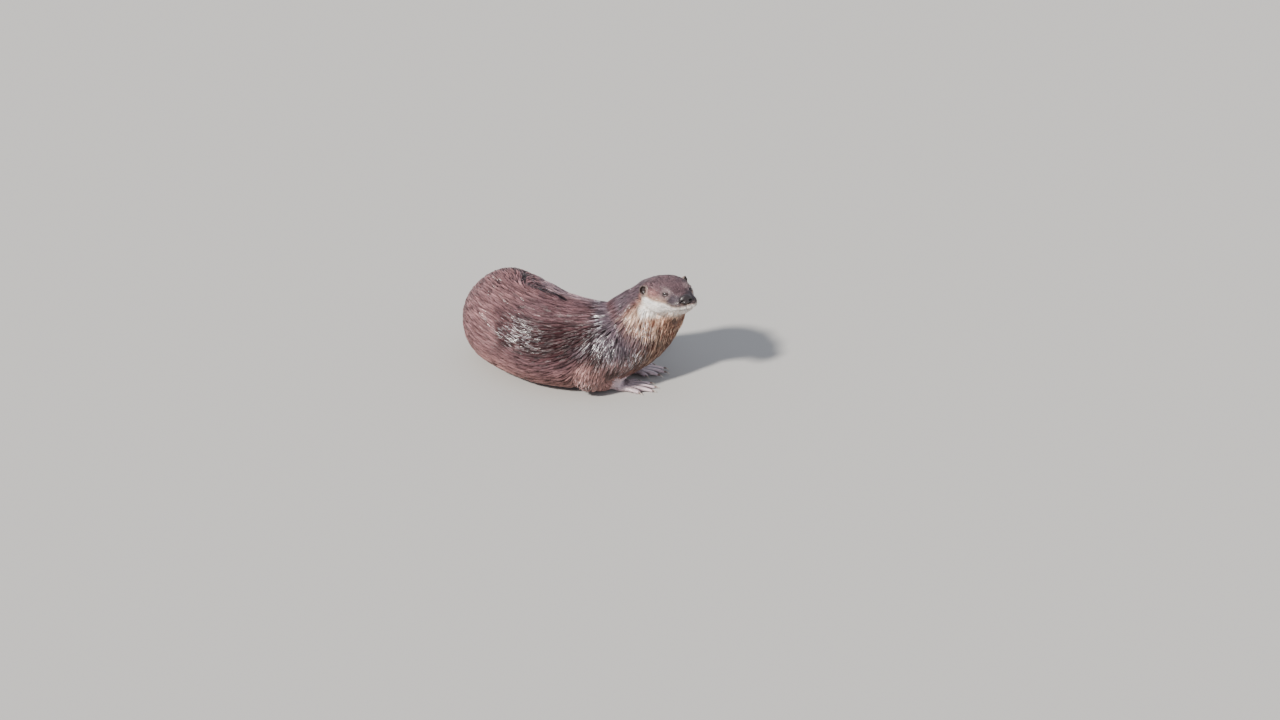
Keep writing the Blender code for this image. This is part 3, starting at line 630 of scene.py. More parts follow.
MARKINGS = [  # each colour and where it lies, from the back and flanks to the face's fine marks
    (FLANK, ramp(under, -1.0, -0.6) * (1 - 0.75 * ramp(under, -0.3, 0.15))),
    (RUMP, ramp(spine_at + drift * 0.6, 35.5, 42) * (1 - ramp(under, 0.2, 0.8) * 0.5)),
    (TAIL, on_tail),
    # Painted light: the upward-facing side of the tail is painted lighter, as if sunlit.
    (TAIL_TOP_LIT, on_tail * ramp(out[:, 2], 0.4, 0.8) * (1 - ramp(spine_at, 62, 68))),
    (TUSSOCK, tussock * 0.85),
    (TUSSOCK_DARK, tussock_root * 0.9),
    # Painted shade on the side of the tail that faces the back, in the hollow beside it.
    (CREVICE_SHADE, on_tail * ramp(-out[:, 1], 0.2, 0.75) * hollow),
    # Painted light: a lit strip along the tail's top beside the back.
    (TAIL_TOP_LIT, lit_strip * 0.7),
    # Painted shadow down the crevice between the back and the tail.
    (SHADOW, crevice * 0.9),
    (BELLY, ramp(under, 0.0, 0.8) * 0.8),
    # Greyer shoulder and neck: partly the hair's own tone, partly a painted sheen of sky light on the wet
    # hair.
    (SHOULDER, band(spine_at + drift * 0.5, 14, 19, 22, 28) * (1 - ramp(under, 0.1, 0.6))),
    (SHOULDER, on_neck * (1 - ramp(under, -0.1, 0.5)) * 0.7),
    (NECK_RED, red_band * 0.55),
    (ARM, low_arm),
    (ARMPIT, arm_dark * 0.9),
    (THROAT, np.maximum(throat_front, on_neck * ramp(-z, 2.6, 4.2) * ramp(x, -2.5, 1.0))),
    (THROAT_GOLD, on_neck * ramp(x, -2.5, 0.0) * (1 - ramp(edge_below, 2.5, 6.5)) * 0.8),
    (THROAT_PALE, on_neck * ramp(x, -1.5, 0.5) * (1 - ramp(edge_below, -0.3, 1.8)) * 0.75),
    (CROWN, top * ramp(z, -1.6, 0.4)),
    (MUZZLE, top * ramp(x, 5.4, 6.6) * (1 - ramp(z, 0.2, 0.9)) * ramp(z, -1.6, -0.6)),
    (TEMPLE, top * np.exp(-(((x - 2.3) / 1.6) ** 2) - ((z + 0.15) / 0.55) ** 2)),
    (CHEEK, white * ramp(z, -5.9 + 0.30 * x, -4.7 + 0.30 * x)),
    (CHIN_SHADE, chin_shade * 0.75),
    (FOOT, on_leg * foot),
    (TOE_GAP_SHADE, shade_between_toes),
    (EAR_RIM, soft(is_ear, 4) * 0.6),
    (EYE_PALE, np.exp(-((gap / 1.15) ** 4)) * top * 0.55),
    # The dark rims of the lids and the slit, and painted shade in the creases round the eyes.
    (LID_AND_CREASE_SHADE, np.clip(lid_edge * 0.9 + open_eye + creased * face * 0.75, 0, 1)),
    (MOUTH, mouth * face * 0.6),
    (EAR_INSIDE, (1 - ramp(cup, 0.82, 1.10)) * in_front),
    (EAR_RIM, ear_rim * 0.8),
]
coat = np.tile(BACK, (len(points), 1))
for colour, amount in MARKINGS:
    coat = mix(coat, colour, amount)
coat *= (1 + 0.08 * mottle)[:, None]


def add_colour(mesh, name, colours):
    layer = mesh.attributes.new(name, "FLOAT_COLOR", "POINT")
    values = np.ones((len(colours), 4), np.float32)
    values[:, :3] = colours
    layer.data.foreach_set("color", values.ravel())


add_colour(skin.data, "markings", coat)
skin.data.polygons.foreach_set("use_smooth", np.ones(len(skin.data.polygons), bool))

# The skin is unwrapped by itself, and every tuft's patch lies on the same unwrap at its root.
bpy.context.view_layer.objects.active = skin
skin.select_set(True)
bpy.ops.object.mode_set(mode="EDIT")
bpy.ops.mesh.select_all(action="SELECT")
bpy.ops.uv.smart_project(angle_limit=math.radians(66), island_margin=0.002)
bpy.ops.object.mode_set(mode="OBJECT")
skin.data.uv_layers[0].name = "OFBake"


def add_node(material, kind, links=None, **settings):
    """Adds a node, sets its sockets or properties by name, and links the sockets given in links."""
    node = material.node_tree.nodes.new(kind)
    for name, value in settings.items():
        if hasattr(node, name):
            setattr(node, name, value)
        else:
            node.inputs[name.replace("_", " ")].default_value = value
    for socket, source in (links or {}).items():
        material.node_tree.links.new(source, node.inputs[socket])
    return node


def new_material(name):
    material = bpy.data.materials.new(name)
    material.use_nodes = True
    material.node_tree.nodes.clear()
    return material


def finish_material(material, shader):
    output = add_node(material, "ShaderNodeOutputMaterial")
    material.node_tree.links.new(shader.outputs[0], output.inputs["Surface"])
    return material


def wet_hide():
    """Bare wet hide: soft and finely creased, darker than the fur, with a thin shine of water."""
    material = new_material("wet_hide")
    colour = add_node(material, "ShaderNodeAttribute", attribute_name="markings")
    place = add_node(material, "ShaderNodeTexCoord")
    creases = add_node(material, "ShaderNodeTexVoronoi", {"Vector": place.outputs["Object"]},
                       feature="DISTANCE_TO_EDGE", Scale=700.0)  # creases about 1.4 mm apart
    bump = add_node(material, "ShaderNodeBump", {"Height": creases.outputs["Distance"]},
                    Strength=0.5, Distance=0.0006)
    shader = add_node(material, "ShaderNodeBsdfPrincipled",
                      {"Base Color": colour.outputs["Color"], "Normal": bump.outputs["Normal"]},
                      Roughness=0.32, Coat_Weight=0.7, Coat_Roughness=0.12, Coat_IOR=1.38)
    return finish_material(material, shader)


skin.data.materials.clear()
skin.data.materials.append(wet_hide())
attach(skin, "root")
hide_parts(*FLESH)

# ---------------------------------------------------------------- the coat
# Wet guard hair: it draws together in thin pointed locks that lie along the body from nose to
# tail. Each lock is a handful of tapered tufts, three-sided and ten triangles each, rooted in the
# skin. They are longest on the neck and trunk and smallest on the face and feet.
COAT = {  # length, width, spacing of the tufts and of the locks they draw into, in millimetres
    "crown": (6.2, 0.80, 0.98, 2.8), "muzzle": (2.8, 0.52, 0.76, 1.6), "neck": (12.5, 1.02, 1.26, 4.2),
    "trunk": (15.0, 1.22, 1.40, 4.8), "tail": (12.5, 1.40, 1.33, 4.4), "tail_tip": (11.0, 1.10, 1.20, 3.2),
    "leg": (9.5, 1.05, 1.34, 3.8), "foot": (3.6, 0.75, 1.12, 2.2), "ear": (1.2, 0.40, 0.65, 1.2),
}
kind = np.tile(COAT["trunk"], (len(points), 1)).astype(float)
kind[owner == 1] = COAT["neck"]
kind[(owner >= 6) & (owner < SPINE_COUNT)] = COAT["tail"]
kind = mix(kind, np.array(COAT["tail_tip"]), tail_share)
kind[owner == 0] = COAT["neck"]
kind = mix(kind, np.array(COAT["crown"]), (owner == 0) * ramp(x, -4.5, 0.5))
kind = mix(kind, np.array(COAT["muzzle"]), (owner == 0) * ramp(x, 1.5, 6.0))
kind = mix(kind, np.array(COAT["neck"]), (owner == 0) * ramp(-z, 2.7, 3.8) * (1 - ramp(x, 6.0, 7.5)))
kind[is_leg] = COAT["leg"]
kind = mix(kind, np.array(COAT["foot"]), is_leg * ramp(leg_share, 0.35, 0.72))
kind[is_ear] = COAT["ear"]
kind = net.spread(kind, 25)
NOSE_BARE, NOSE_BARE_REACH = (8.55, 0, 0.02), 0.9  # no hair grows under the nose pad
near_eye = np.exp(-((gap / 1.0) ** 4)) * face
kind[:, 0] *= (1 - 0.7 * near_eye) * (1 - 0.4 * crevice)
length, width, spacing, lock = (kind / 1000).T
bald = np.clip(lid_edge * 1.5 + open_eye * 2 + ear_hole * 1.2 + is_leg * ramp(leg_share, 0.82, 0.90), 0, 1)
bald = np.maximum(bald, np.maximum(mouth * 0.6, creased * 0.9) * face)
bald = np.maximum(bald, np.clip(ear_rim * 0.8, 0, 1))
bald = np.maximum(bald, (np.linalg.norm(in_head - NOSE_BARE, axis=1) < NOSE_BARE_REACH) * 1.0)
density = (1 - bald) / spacing**2
density *= 1 - 0.7 * ramp(-out[:, 2], 0.75, 0.95) * (points[:, 2] < 0.02)

mesh = skin.data
mesh.calc_loop_triangles()
corners = rows_of(mesh.loop_triangles, "vertices", 3, np.int32)
loops = rows_of(mesh.loop_triangles, "loops", 3, np.int32)
patch = rows_of(mesh.uv_layers["OFBake"].data, "uv", 2)
edge_a, edge_b = points[corners[:, 1]] - points[corners[:, 0]], points[corners[:, 2]] - points[corners[:, 0]]
area = np.linalg.norm(np.cross(edge_a, edge_b), axis=1) / 2
number_of = area * density[corners].mean(axis=1)
total = int(number_of.sum())
reach = np.cumsum(number_of)
rng = np.random.default_rng(7)
chosen = np.searchsorted(reach, np.arange(total) + rng.random(total) * 0.98)
chosen = np.minimum(chosen, len(corners) - 1)
r1, r2 = np.sqrt(rng.random(total)), rng.random(total)
weights = np.stack((1 - r1, r1 * (1 - r2), r1 * r2), axis=1)


def at_roots(values):
    return np.einsum("ij,ij...->i...", weights, values[corners[chosen]])


root, up, run = at_roots(points), unit(at_roots(out)), unit(at_roots(flow))
size, wide, deep, clump = at_roots(length), at_roots(width), at_roots(depth), at_roots(lock)
deep *= 1 - 0.3 * at_roots(on_tail)  # the tail's coat lies closest
hue, root_uv = at_roots(coat), np.einsum("ij,ijk->ik", weights, patch[loops[chosen]])
which = owner[corners[chosen, 0]]

# The wet hair draws together in locks: one tuft leads each, and the rest lean its way.
LOCK_LONG = 3.0  # a lock is this many times as long as it is wide
cells = np.floor(root / (clump[:, None] * 0.9 * math.sqrt(LOCK_LONG))).astype(np.int64)
shuffled = rng.permutation(total)
leads = shuffled[np.unique(cells[shuffled] @ np.array((73856093, 19349663, 83492791)), return_index=True)[1]]
tree = KDTree(len(leads))
for number, place in enumerate(root[leads]):
    tree.insert(place, number)
tree.balance()
nearest = np.array([[hit[1] for hit in tree.find_n(place, 7)] for place in root])
apart = root[leads][nearest] - root[:, None, :]
ahead_of = np.einsum("ijk,ik->ij", apart, run)
unlike = np.sum(apart**2, axis=2) - ahead_of**2 * (1 - 1 / LOCK_LONG**2)
lock_of = nearest[np.arange(total), np.argmin(unlike, axis=1)]
lead = leads[lock_of]
lock_turn = rng.normal(0, 0.10, len(leads))[lock_of]
lock_lift = rng.uniform(0.65, 1.30, len(leads))[lock_of]
lock_shade = np.exp(rng.normal(0, 0.22, len(leads)))[lock_of]
LOCK_TILT, TUFT_TILT = 0.26, 0.10  # locks lie unevenly, so each takes the light at its own angle
tilt = rng.normal(0, LOCK_TILT, (len(leads), 3))[lock_of] + rng.normal(0, TUFT_TILT, (total, 3))
pale_strand = ramp(rng.random(len(leads))[lock_of] * 0.4 + rng.random(total) * 0.6, 0.42, 0.66)
turn = rng.normal(0, 0.06, total) + lock_turn
run = unit(run * 0.5 + run[lead] * 0.5)
run = unit(run - up * np.sum(run * up, axis=1)[:, None])
beside = np.cross(run, up)
run = unit(run * np.cos(turn)[:, None] + beside * np.sin(turn)[:, None])
size *= rng.uniform(0.8, 1.15, total) * rng.uniform(0.85, 1.15, len(leads))[lock_of]

skin_faces = [tuple(polygon.vertices) for polygon in mesh.polygons]
hide = BVHTree.FromPolygons([tuple(point) for point in points], skin_faces)
first_corner = np.array([polygon[0] for polygon in skin_faces])


def on_skin(places):
    """The nearest places on the skin, its directions outwards there and the faces they lie on."""
    found = [hide.find_nearest(Vector(place)) for place in places]
    return (np.array([hit[0][:] for hit in found]), np.array([hit[1][:] for hit in found]),
            np.array([hit[2] for hit in found]))


half_way, half_up, half_face = on_skin(root + run * (size * 0.5)[:, None])
half_up = unit(half_up * 0.5 + out[first_corner[half_face]] * 0.5)
turned = flow[first_corner[half_face]]
onwards = unit(turned * 0.6 + run * 0.4)
end, end_up, end_face = on_skin(half_way + onwards * (size * 0.5)[:, None])
end_up = unit(end_up * 0.5 + out[first_corner[end_face]] * 0.5)
aside = np.cross(onwards, end_up)
off = np.sum((end[lead] - end) * aside, axis=1)
edge = np.clip(np.abs(np.sum((root[lead] - root) * beside, axis=1)) / (clump * 0.5), 0, 1.5)
drawn = rng.uniform(0.55, 0.95, total)
end += aside * (off * drawn)[:, None]
half_way += aside * (off * drawn * 0.45)[:, None]
ridge = np.exp(-((edge / 0.7) ** 2))
height = (0.25 + 0.55 * ridge + 0.2 * rng.random(total)) * lock_lift
half_height = deep * (0.50 + 0.40 * height)
end_height = deep * (0.20 + 0.80 * height)
half_way += half_up * half_height[:, None]
end += end_up * end_height[:, None]
root -= up * 0.0004
for places in (half_way, end):
    places[:, 2] = np.maximum(places[:, 2], 0.0004)


def ring(centre, ahead, upward, wide, thick):
    """Left, right and ridge points of a tuft's cross-section."""
    aside = unit(np.cross(ahead, upward)) * (wide / 2)[:, None]
    return centre - aside, centre + aside, centre + upward * thick[:, None]


thick = wide * 0.30
start = ring(root, half_way - root, up, wide * 0.75, thick * 0.7)
centre = ring(half_way, end - root, half_up, wide, thick)
tuft_points = np.stack((*start, *centre, end), axis=1)
# A flat wet tuft shades as a low ridge, not as a round cord.
side_start, side_centre = unit(start[1] - start[0]), unit(centre[1] - centre[0])
LEAN = 0.55
lit = [unit(direction + tilt) for direction in (up, half_up, end_up)]
tuft_normals = np.stack((
    unit(lit[0] - side_start * LEAN), unit(lit[0] + side_start * LEAN), lit[0],
    unit(lit[1] - side_centre * LEAN), unit(lit[1] + side_centre * LEAN), lit[1], lit[2],
), axis=1)
TUFT_QUADS = np.array(((0, 3, 4, 1), (1, 4, 5, 2), (2, 5, 3, 0)))
TUFT_TRIANGLES = np.array(((3, 6, 4), (4, 6, 5), (5, 6, 3), (0, 1, 2)))
UV_SPOTS = np.array(((0, 0), (1, 0), (0.5, 0.1), (0, 0.6), (1, 0.6), (0.5, 0.6), (0.5, 1.0))) - 0.5
PATCH = 0.003
# Lower tufts, in the grooves between the ridges of the locks, are darkened as painted shade; the rest of the
# spread is each tuft's and each lock's own tone.
shade = rng.normal(1.0, 0.14, total) * (0.42 + 0.86 * height) * lock_shade
lightness = at_roots(coat.mean(axis=1))
evenness = 0.75 * ramp(lightness, 0.30, 0.6)
evenness += 0.35 * at_roots(face * (1 - ramp(-z, 2.6, 3.6)) + is_leg * foot)
shade = shade ** (1 - np.clip(evenness, 0, 0.8) + 0.9 * at_roots(tussock))
tint = np.stack((1 + rng.normal(0, 0.02, total), np.ones(total), 1 + rng.normal(0, 0.03, total)), axis=1)
# Each tuft darkens towards its root and lightens towards its tip: partly the hair's own tone, partly painted
# shade among the roots.
tone = np.array((0.50, 0.50, 0.60, 0.90, 0.90, 1.10, 1.45))
half_hue, end_hue = coat[first_corner[half_face]], coat[first_corner[end_face]]
hues = np.stack((hue, hue, hue, half_hue, half_hue, half_hue, end_hue * 0.6 + half_hue * 0.4), axis=1)
strand = (at_roots(fringe) * pale_strand * 0.85)[:, None, None]
hues += (THROAT_PALE - hues) * strand
# Painted highlights: some tufts in the wet places get white tips that stand for glints of water.
painted_glint = at_roots(wet_and_glint * (owner < 6) + wet_and_glint * is_leg) * ramp(rng.random(total), 0.70, 0.88)
glint_reach = np.array((0, 0, 0, 0.4, 0.4, 0.65, 1.0))
wet = at_roots(water)
hues += (GLINT_WHITE - hues) * (painted_glint[:, None] * glint_reach)[:, :, None]
tone = tone ** (1 - 0.8 * ramp(lightness, 0.30, 0.6))[:, None]
tone = tone * (1 + 0.08 * ramp(lightness, 0.45, 0.7))[:, None]
tuft_colour = hues * (shade[:, None] * tone)[:, :, None] * tint[:, None, :]


def tuft_piece(name, members):
    """One joined mesh of the given tufts."""
    count = len(members)
    mesh = bpy.data.meshes.new(name)
    mesh.vertices.add(count * 7)
    mesh.vertices.foreach_set("co", tuft_points[members].astype(np.float32).ravel())
    shift = (np.arange(count) * 7)[:, None, None]
    quads, triangles = (TUFT_QUADS + shift).reshape(-1, 4), (TUFT_TRIANGLES + shift).reshape(-1, 3)
    order = np.concatenate((quads.ravel(), triangles.ravel())).astype(np.int32)
    mesh.loops.add(len(order))
    mesh.loops.foreach_set("vertex_index", order)
    starts = np.concatenate((np.arange(len(quads)) * 4, len(quads) * 4 + np.arange(len(triangles)) * 3))
    mesh.polygons.add(len(starts))
    mesh.polygons.foreach_set("loop_start", starts.astype(np.int32))
    mesh.polygons.foreach_set("use_smooth", np.ones(len(starts), bool))
    mesh.update(calc_edges=True)
    layer = mesh.uv_layers.new(name="OFBake")
    spots = (root_uv[members][:, None, :] + UV_SPOTS * PATCH).reshape(-1, 2)
    layer.data.foreach_set("uv", spots[order].astype(np.float32).ravel())
    add_colour(mesh, "markings", tuft_colour[members].reshape(-1, 3))
    layer = mesh.attributes.new("water", "FLOAT", "POINT")
    layer.data.foreach_set("value", np.repeat(wet[members], 7).astype(np.float32))
    mesh.normals_split_custom_set_from_vertices(tuft_normals[members].reshape(-1, 3))
    made = bpy.data.objects.new(name, mesh)
    bpy.context.scene.collection.objects.link(made)
    return made


def wet_fur():
    """Wet guard hair: dark and close, each lock with a bright line of water along its back."""
    material = new_material("wet_guard_hair")
    colour = add_node(material, "ShaderNodeAttribute", attribute_name="markings")
    place = add_node(material, "ShaderNodeTexCoord")
    film = add_node(material, "ShaderNodeAttribute", attribute_name="water")
    strands = add_node(material, "ShaderNodeTexNoise", {"Vector": place.outputs["Object"]},
                       Scale=900.0, Detail=2.0)  # single hairs are finer than this 1 mm grain
    bump = add_node(material, "ShaderNodeBump", {"Height": strands.outputs["Fac"]},
                    Strength=0.35, Distance=0.0004)
    shader = add_node(material, "ShaderNodeBsdfPrincipled",
                      {"Base Color": colour.outputs["Color"], "Normal": bump.outputs["Normal"],
                       "Coat Weight": film.outputs["Fac"]},
                      Roughness=0.40, Specular_IOR_Level=0.30, Coat_Roughness=0.13, Coat_IOR=1.5)
    return finish_material(material, shader)


fur = wet_fur()
MOST_TUFTS = 19500  # of ten triangles each, so that no piece has 200,000
PIECES = {
    "face": [0, 13, 14], "neck": [1], "chest": [2], "barrel": [3], "loin": [4], "rump": [5],
    "tail": [6, 7, 8], "forelegs": [9, 10], "hindlegs": [11, 12],
}
for name, numbers in PIECES.items():
    members = np.flatnonzero(np.isin(which, numbers))
    parts = -(-len(members) // MOST_TUFTS)
    for part, share in enumerate(np.array_split(members, parts)):
        piece = tuft_piece(f"coat_{name}_{part + 1}", share)
        piece.data.materials.append(fur)
        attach(piece, "root")

# ---------------------------------------------------------------- the eyes
# Small dark glass-like eyes, each a ball with a near-black pupil in a deep brown iris, set into
# its socket so that the lids of the skin lie on it and only a slit of it shows.


def cover(piece, material):
    """Shades a piece smooth and gives it its one material."""
    piece.data.polygons.foreach_set("use_smooth", np.ones(len(piece.data.polygons), bool))
    piece.data.materials.append(material)


def wet_eye():
    """A living eye: clear wet cornea over a dark iris, so it takes one sharp light."""
    material = new_material("wet_cornea")
    colour = add_node(material, "ShaderNodeAttribute", attribute_name="iris")
    shader = add_node(material, "ShaderNodeBsdfPrincipled", {"Base Color": colour.outputs["Color"]},
                      Roughness=0.06, Coat_Weight=1.0, Coat_Roughness=0.02, IOR=1.38)
    return finish_material(material, shader)


PUPIL, IRIS, WHITE_OF_EYE = linear("#050404"), linear("#24160e"), linear("#3a2c28")
eye_material = wet_eye()
for node, turn in (("eye_left", 1), ("eye_right", -1)):
    towards = Vector((eye_out * (1, turn, 1)) @ HEAD_AXES)
    bm = bmesh.new()
    bmesh.ops.create_uvsphere(bm, u_segments=32, v_segments=24, radius=EYE_RADIUS * CM)
    for vert in bm.verts:  # the cornea stands a little proud round the pole
        vert.co *= 1 + 0.05 * max(0.0, vert.co.z / (EYE_RADIUS * CM)) ** 6
    facing = np.array([vert.co.normalized().z for vert in bm.verts])
    bmesh.ops.rotate(bm, verts=bm.verts, matrix=towards.to_track_quat("Z", "Y").to_matrix())
    spot = from_head(EYE_SPOT * (1, turn, 1))
    bmesh.ops.translate(bm, verts=bm.verts, vec=Vector(spot))
    ball = object_from(bm, node.replace("eye", "eyeball"))
    colours = mix(np.tile(PUPIL, (len(facing), 1)), IRIS, ramp(-facing, -0.96, -0.93))
    add_colour(ball.data, "iris", mix(colours, WHITE_OF_EYE, ramp(-facing, -0.72, -0.66)))
    cover(ball, eye_material)
    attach(ball, "root")
    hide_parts(node)

# ---------------------------------------------------------------- the nose
# The broad bare nose pad of black leather-like skin: pebbled, moist, with a comma-shaped nostril
# on each side and a shallow cleft below. It is set into the end of the muzzle.
NOSE_SPOT = (8.42, 0.0, 0.0)
NOSE_REACH = np.array((0.64, 1.22, 0.88))


def nose_leather():
    """Moist nose leather: near black, pebbled about 0.8 mm across, with a soft wet light on it."""
    material = new_material("nose_leather")
    place = add_node(material, "ShaderNodeTexCoord")
    pebbles = add_node(material, "ShaderNodeTexVoronoi", {"Vector": place.outputs["Object"]},
                       Scale=1200.0, Randomness=0.9)
    tone = add_node(material, "ShaderNodeValToRGB", {"Fac": pebbles.outputs["Distance"]})
    tone.color_ramp.elements[0].color = (*linear("#3a3031"), 1)
    tone.color_ramp.elements[1].color = (*linear("#1f191a"), 1)
    bump = add_node(material, "ShaderNodeBump", {"Height": pebbles.outputs["Distance"]},
                    Strength=0.6, Distance=0.0005)
    bump.invert = True
    shader = add_node(material, "ShaderNodeBsdfPrincipled",
                      {"Base Color": tone.outputs["Color"], "Normal": bump.outputs["Normal"]},
                      Roughness=0.34, Coat_Weight=0.3, Coat_Roughness=0.15)
    return finish_material(material, shader)


bm = bmesh.new()
bmesh.ops.create_uvsphere(bm, u_segments=72, v_segments=48, radius=1)
bmesh.ops.rotate(bm, verts=bm.verts, matrix=Vector((1, 0, 0)).to_track_quat("Z", "Y").to_matrix())
for vert in bm.verts:
    x, y, z = vert.co
    side = 1 if y > 0 else -1
    y, z = abs(y) ** 0.92, (1 if z > 0 else -1) * abs(z) ** 0.9
    x, y, z = (x, y, z) * NOSE_REACH
    z -= 0.16 * (y / NOSE_REACH[1]) ** 2 * (z > 0)  # the upper edge falls to the sides
    y *= 1 - 0.30 * max(0.0, -z / NOSE_REACH[2])  # and the lower half narrows to the lip
    front = max(0.0, x / NOSE_REACH[0])
    x *= 1 - 0.14 * math.exp(-((z - 0.3) / 0.5) ** 2)
    nostril = math.exp(-(((y - 0.70) / 0.24) ** 2 + ((z + 0.10) / 0.17) ** 2) ** 1.3)
    slit_line = -0.16 - 0.35 * (y - 0.85)
    slit_out = math.exp(-(((y - 1.02) / 0.24) ** 2 + ((z - slit_line) / 0.075) ** 2))
    wing = math.exp(-(((y - 0.72) / 0.42) ** 2 + ((z - 0.18) / 0.15) ** 2))
    cleft = math.exp(-((y / 0.06) ** 2)) * min(1.0, max(0.0, 0.5 - z))
    x += (0.05 * wing - 0.46 * nostril - 0.22 * slit_out - 0.07 * cleft) * min(1.0, front * 1.6)
    vert.co = Vector(from_head(np.array(NOSE_SPOT) + (x, y * side, z)))
bmesh.ops.recalc_face_normals(bm, faces=bm.faces)
nose = object_from(bm, "nose_leather")
cover(nose, nose_leather())
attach(nose, "root")
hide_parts("nose_pad")

# ---------------------------------------------------------------- the claws
# Twenty short curved claws of pale brown horn, one set into the end of each toe, round above
# and worn blunt at the tip.
CLAW_REACH = 0.20


def horn():
    """Claw horn: translucent brown, smooth along its length, paler and worn at the tip."""
    material = new_material("claw_horn")
    tone = add_node(material, "ShaderNodeAttribute", attribute_name="horn")
    place = add_node(material, "ShaderNodeTexCoord")
    grain = add_node(material, "ShaderNodeTexNoise", {"Vector": place.outputs["Object"]}, Scale=2500.0)
    bump = add_node(material, "ShaderNodeBump", {"Height": grain.outputs["Fac"]},
                    Strength=0.15, Distance=0.0002)
    shader = add_node(material, "ShaderNodeBsdfPrincipled",
                      {"Base Color": tone.outputs["Color"], "Normal": bump.outputs["Normal"]},
                      Roughness=0.30, IOR=1.54)
    return finish_material(material, shader)


HORN_ROOT, HORN_TIP = linear("#85706a"), linear("#e6d8c8")
horn_material = horn()
for leg in LEG_NODES:
    joined = bmesh.new()
    layer = joined.verts.layers.float.new("share")
    for base, tip in toe_lines(leg):
        ahead = (tip - base) / np.linalg.norm(tip - base)
        for vert in bmesh.ops.create_uvsphere(joined, u_segments=12, v_segments=14, radius=1)["verts"]:
            share = (vert.co.z + 1) / 2  # 0 at the root in the toe, 1 at the tip
            girth = math.hypot(vert.co.x, vert.co.y) or 1.0
            reach = CLAW_REACH * min(1.0, 2.2 * share ** 0.5) * (1 - share) ** 0.55 * (girth > 1e-4)
            across, above = vert.co.x / girth * reach * 0.85, vert.co.y / girth * reach
            back = CLAW_LENGTH * (1 - share)
            high = 0.43 + 0.08 * math.sin(math.pi * share) - 0.36 * share**2.2
            spot = tip - ahead * back * CM
            vert.co = Vector((*(spot + np.array((-ahead[1], ahead[0])) * across * CM), (high + above) * CM))
            vert[layer] = share
    bmesh.ops.recalc_face_normals(joined, faces=joined.faces)
    shares = np.array([vert[layer] for vert in joined.verts])
    claws = object_from(joined, f"claws_{leg}")
    colours = mix(np.tile(HORN_ROOT, (len(shares), 1)), HORN_TIP, ramp(shares, 0.35, 0.9))
    add_colour(claws.data, "horn", colours)
    cover(claws, horn_material)
    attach(claws, "root")

# ---------------------------------------------------------------- the whiskers
# Stiff pale bristles, ten in rows on each whisker pad and two over each eye: tapered, swept back
# and drooping with the wet.
BRISTLE_ROOT, BRISTLE_TIP = linear("#8f8179"), linear("#e6ddd4")


def bristle():
    """Whisker bristle: smooth, pale and a little glossy, like nylon line."""
    material = new_material("whisker_bristle")
    colour = add_node(material, "ShaderNodeAttribute", attribute_name="bristle")
    shader = add_node(material, "ShaderNodeBsdfPrincipled", {"Base Color": colour.outputs["Color"]},
                      Roughness=0.35)
    return finish_material(material, shader)


WHISKER_ROWS = [  # root in head centimetres, length in centimetres, and its first direction
    ((8.0, 1.75, -0.55), 1.9, (0.25, 1.0, 0.25)), ((7.5, 2.05, -0.60), 2.6, (0.05, 1.0, 0.20)),
    ((6.9, 2.25, -0.65), 3.2, (-0.20, 1.0, 0.15)), ((8.2, 1.75, -0.95), 2.0, (0.25, 1.0, -0.05)),
    ((7.7, 2.10, -1.00), 2.9, (0.00, 1.0, -0.05)), ((7.1, 2.30, -1.05), 3.5, (-0.25, 1.0, -0.10)),
    ((6.5, 2.40, -1.05), 3.6, (-0.45, 1.0, -0.10)), ((8.1, 1.75, -1.35), 1.9, (0.20, 1.0, -0.30)),
    ((7.5, 2.05, -1.40), 2.7, (-0.05, 1.0, -0.35)), ((6.9, 2.25, -1.45), 3.2, (-0.30, 1.0, -0.35)),
    ((5.3, 1.75, 1.25), 2.4, (0.35, 0.6, 0.6)), ((4.9, 2.0, 1.2), 2.0, (0.15, 0.8, 0.6)),
]
WHISKER_REACH = 0.020
SWEEP = np.array((-1.5, -0.5, -0.75))
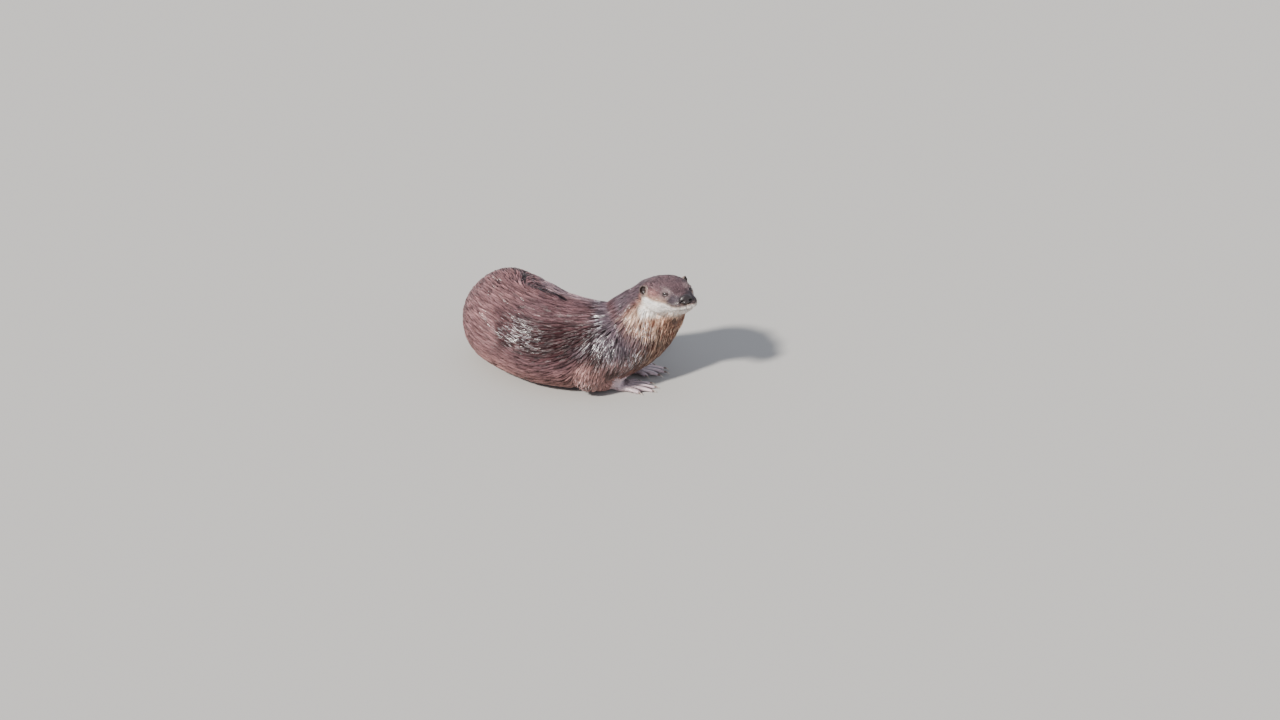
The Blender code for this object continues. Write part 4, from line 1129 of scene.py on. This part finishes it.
for node, turn in (("left", 1), ("right", -1)):
    joined = bmesh.new()
    layer = joined.verts.layers.float.new("share")
    for place, long, away in WHISKER_ROWS:
        away = unit(np.array(away))
        for vert in bmesh.ops.create_uvsphere(joined, u_segments=5, v_segments=14, radius=1)["verts"]:
            share = (vert.co.z + 1) / 2
            girth = math.hypot(vert.co.x, vert.co.y)
            reach = WHISKER_REACH * (1 - 0.85 * share) * min(1.0, girth * 4)
            centre = np.array(place) + away * (share * long - 0.35) + SWEEP * long * 0.32 * share**2
            turned = np.array((vert.co.x, 0.0, vert.co.y)) / max(girth, 1e-4) * reach
            spot = (centre + turned) * (1, turn, 1)
            vert.co = Vector(from_head(spot))
            vert[layer] = share
    bmesh.ops.recalc_face_normals(joined, faces=joined.faces)
    shares = np.array([vert[layer] for vert in joined.verts])
    whiskers = object_from(joined, f"whiskers_{node}")
    tones = mix(np.tile(BRISTLE_ROOT, (len(shares), 1)), BRISTLE_TIP, shares)
    add_colour(whiskers.data, "bristle", tones)
    cover(whiskers, bristle())
    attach(whiskers, "root")

# ---------------------------------------------------------------- floor, light and camera
# A plain pale floor, one soft key from the front left and a pale cool sky, with the camera
# looking down on the animal's right side.
KEY_FROM, KEY_COLOUR, KEY_STRENGTH, KEY_SPREAD = (-0.52, -0.56, 0.65), (1.0, 0.96, 0.90), 5.8, 5
SKY_COLOUR, SKY_STRENGTH = (0.70, 0.745, 0.85, 1), 0.75
EYE_LEVEL = math.radians(28.75)
CAMERA_FAR = 5.44
AIM = Vector((0.110, 0.0174, 0.0))
bm = bmesh.new()
bmesh.ops.create_grid(bm, x_segments=1, y_segments=1, size=6)
floor = object_from(bm, "floor")
pale = new_material("pale_floor")
shader = add_node(pale, "ShaderNodeBsdfPrincipled", Base_Color=(0.52, 0.505, 0.48, 1), Roughness=0.9)
floor.data.materials.append(finish_material(pale, shader))

key = bpy.data.objects.new("key", bpy.data.lights.new("key", "SUN"))
key.data.energy = KEY_STRENGTH
key.data.angle = math.radians(KEY_SPREAD)
key.data.color = KEY_COLOUR
key.rotation_mode = "QUATERNION"
key.rotation_quaternion = Vector(KEY_FROM).to_track_quat("Z", "Y")
bpy.context.scene.collection.objects.link(key)
world = bpy.data.worlds.new("sky")
bpy.context.scene.world = world
world.use_nodes = True
background = world.node_tree.nodes["Background"]
background.inputs["Color"].default_value = SKY_COLOUR
background.inputs["Strength"].default_value = SKY_STRENGTH

camera = bpy.data.objects.new("camera", bpy.data.cameras.new("camera"))
camera.data.lens = 85
camera.data.sensor_width = 36
back = Vector((0, -math.cos(EYE_LEVEL), math.sin(EYE_LEVEL)))
camera.location = AIM + back * CAMERA_FAR
camera.rotation_mode = "QUATERNION"
camera.rotation_quaternion = back.to_track_quat("Z", "Y")
bpy.context.scene.collection.objects.link(camera)
bpy.context.scene.camera = camera
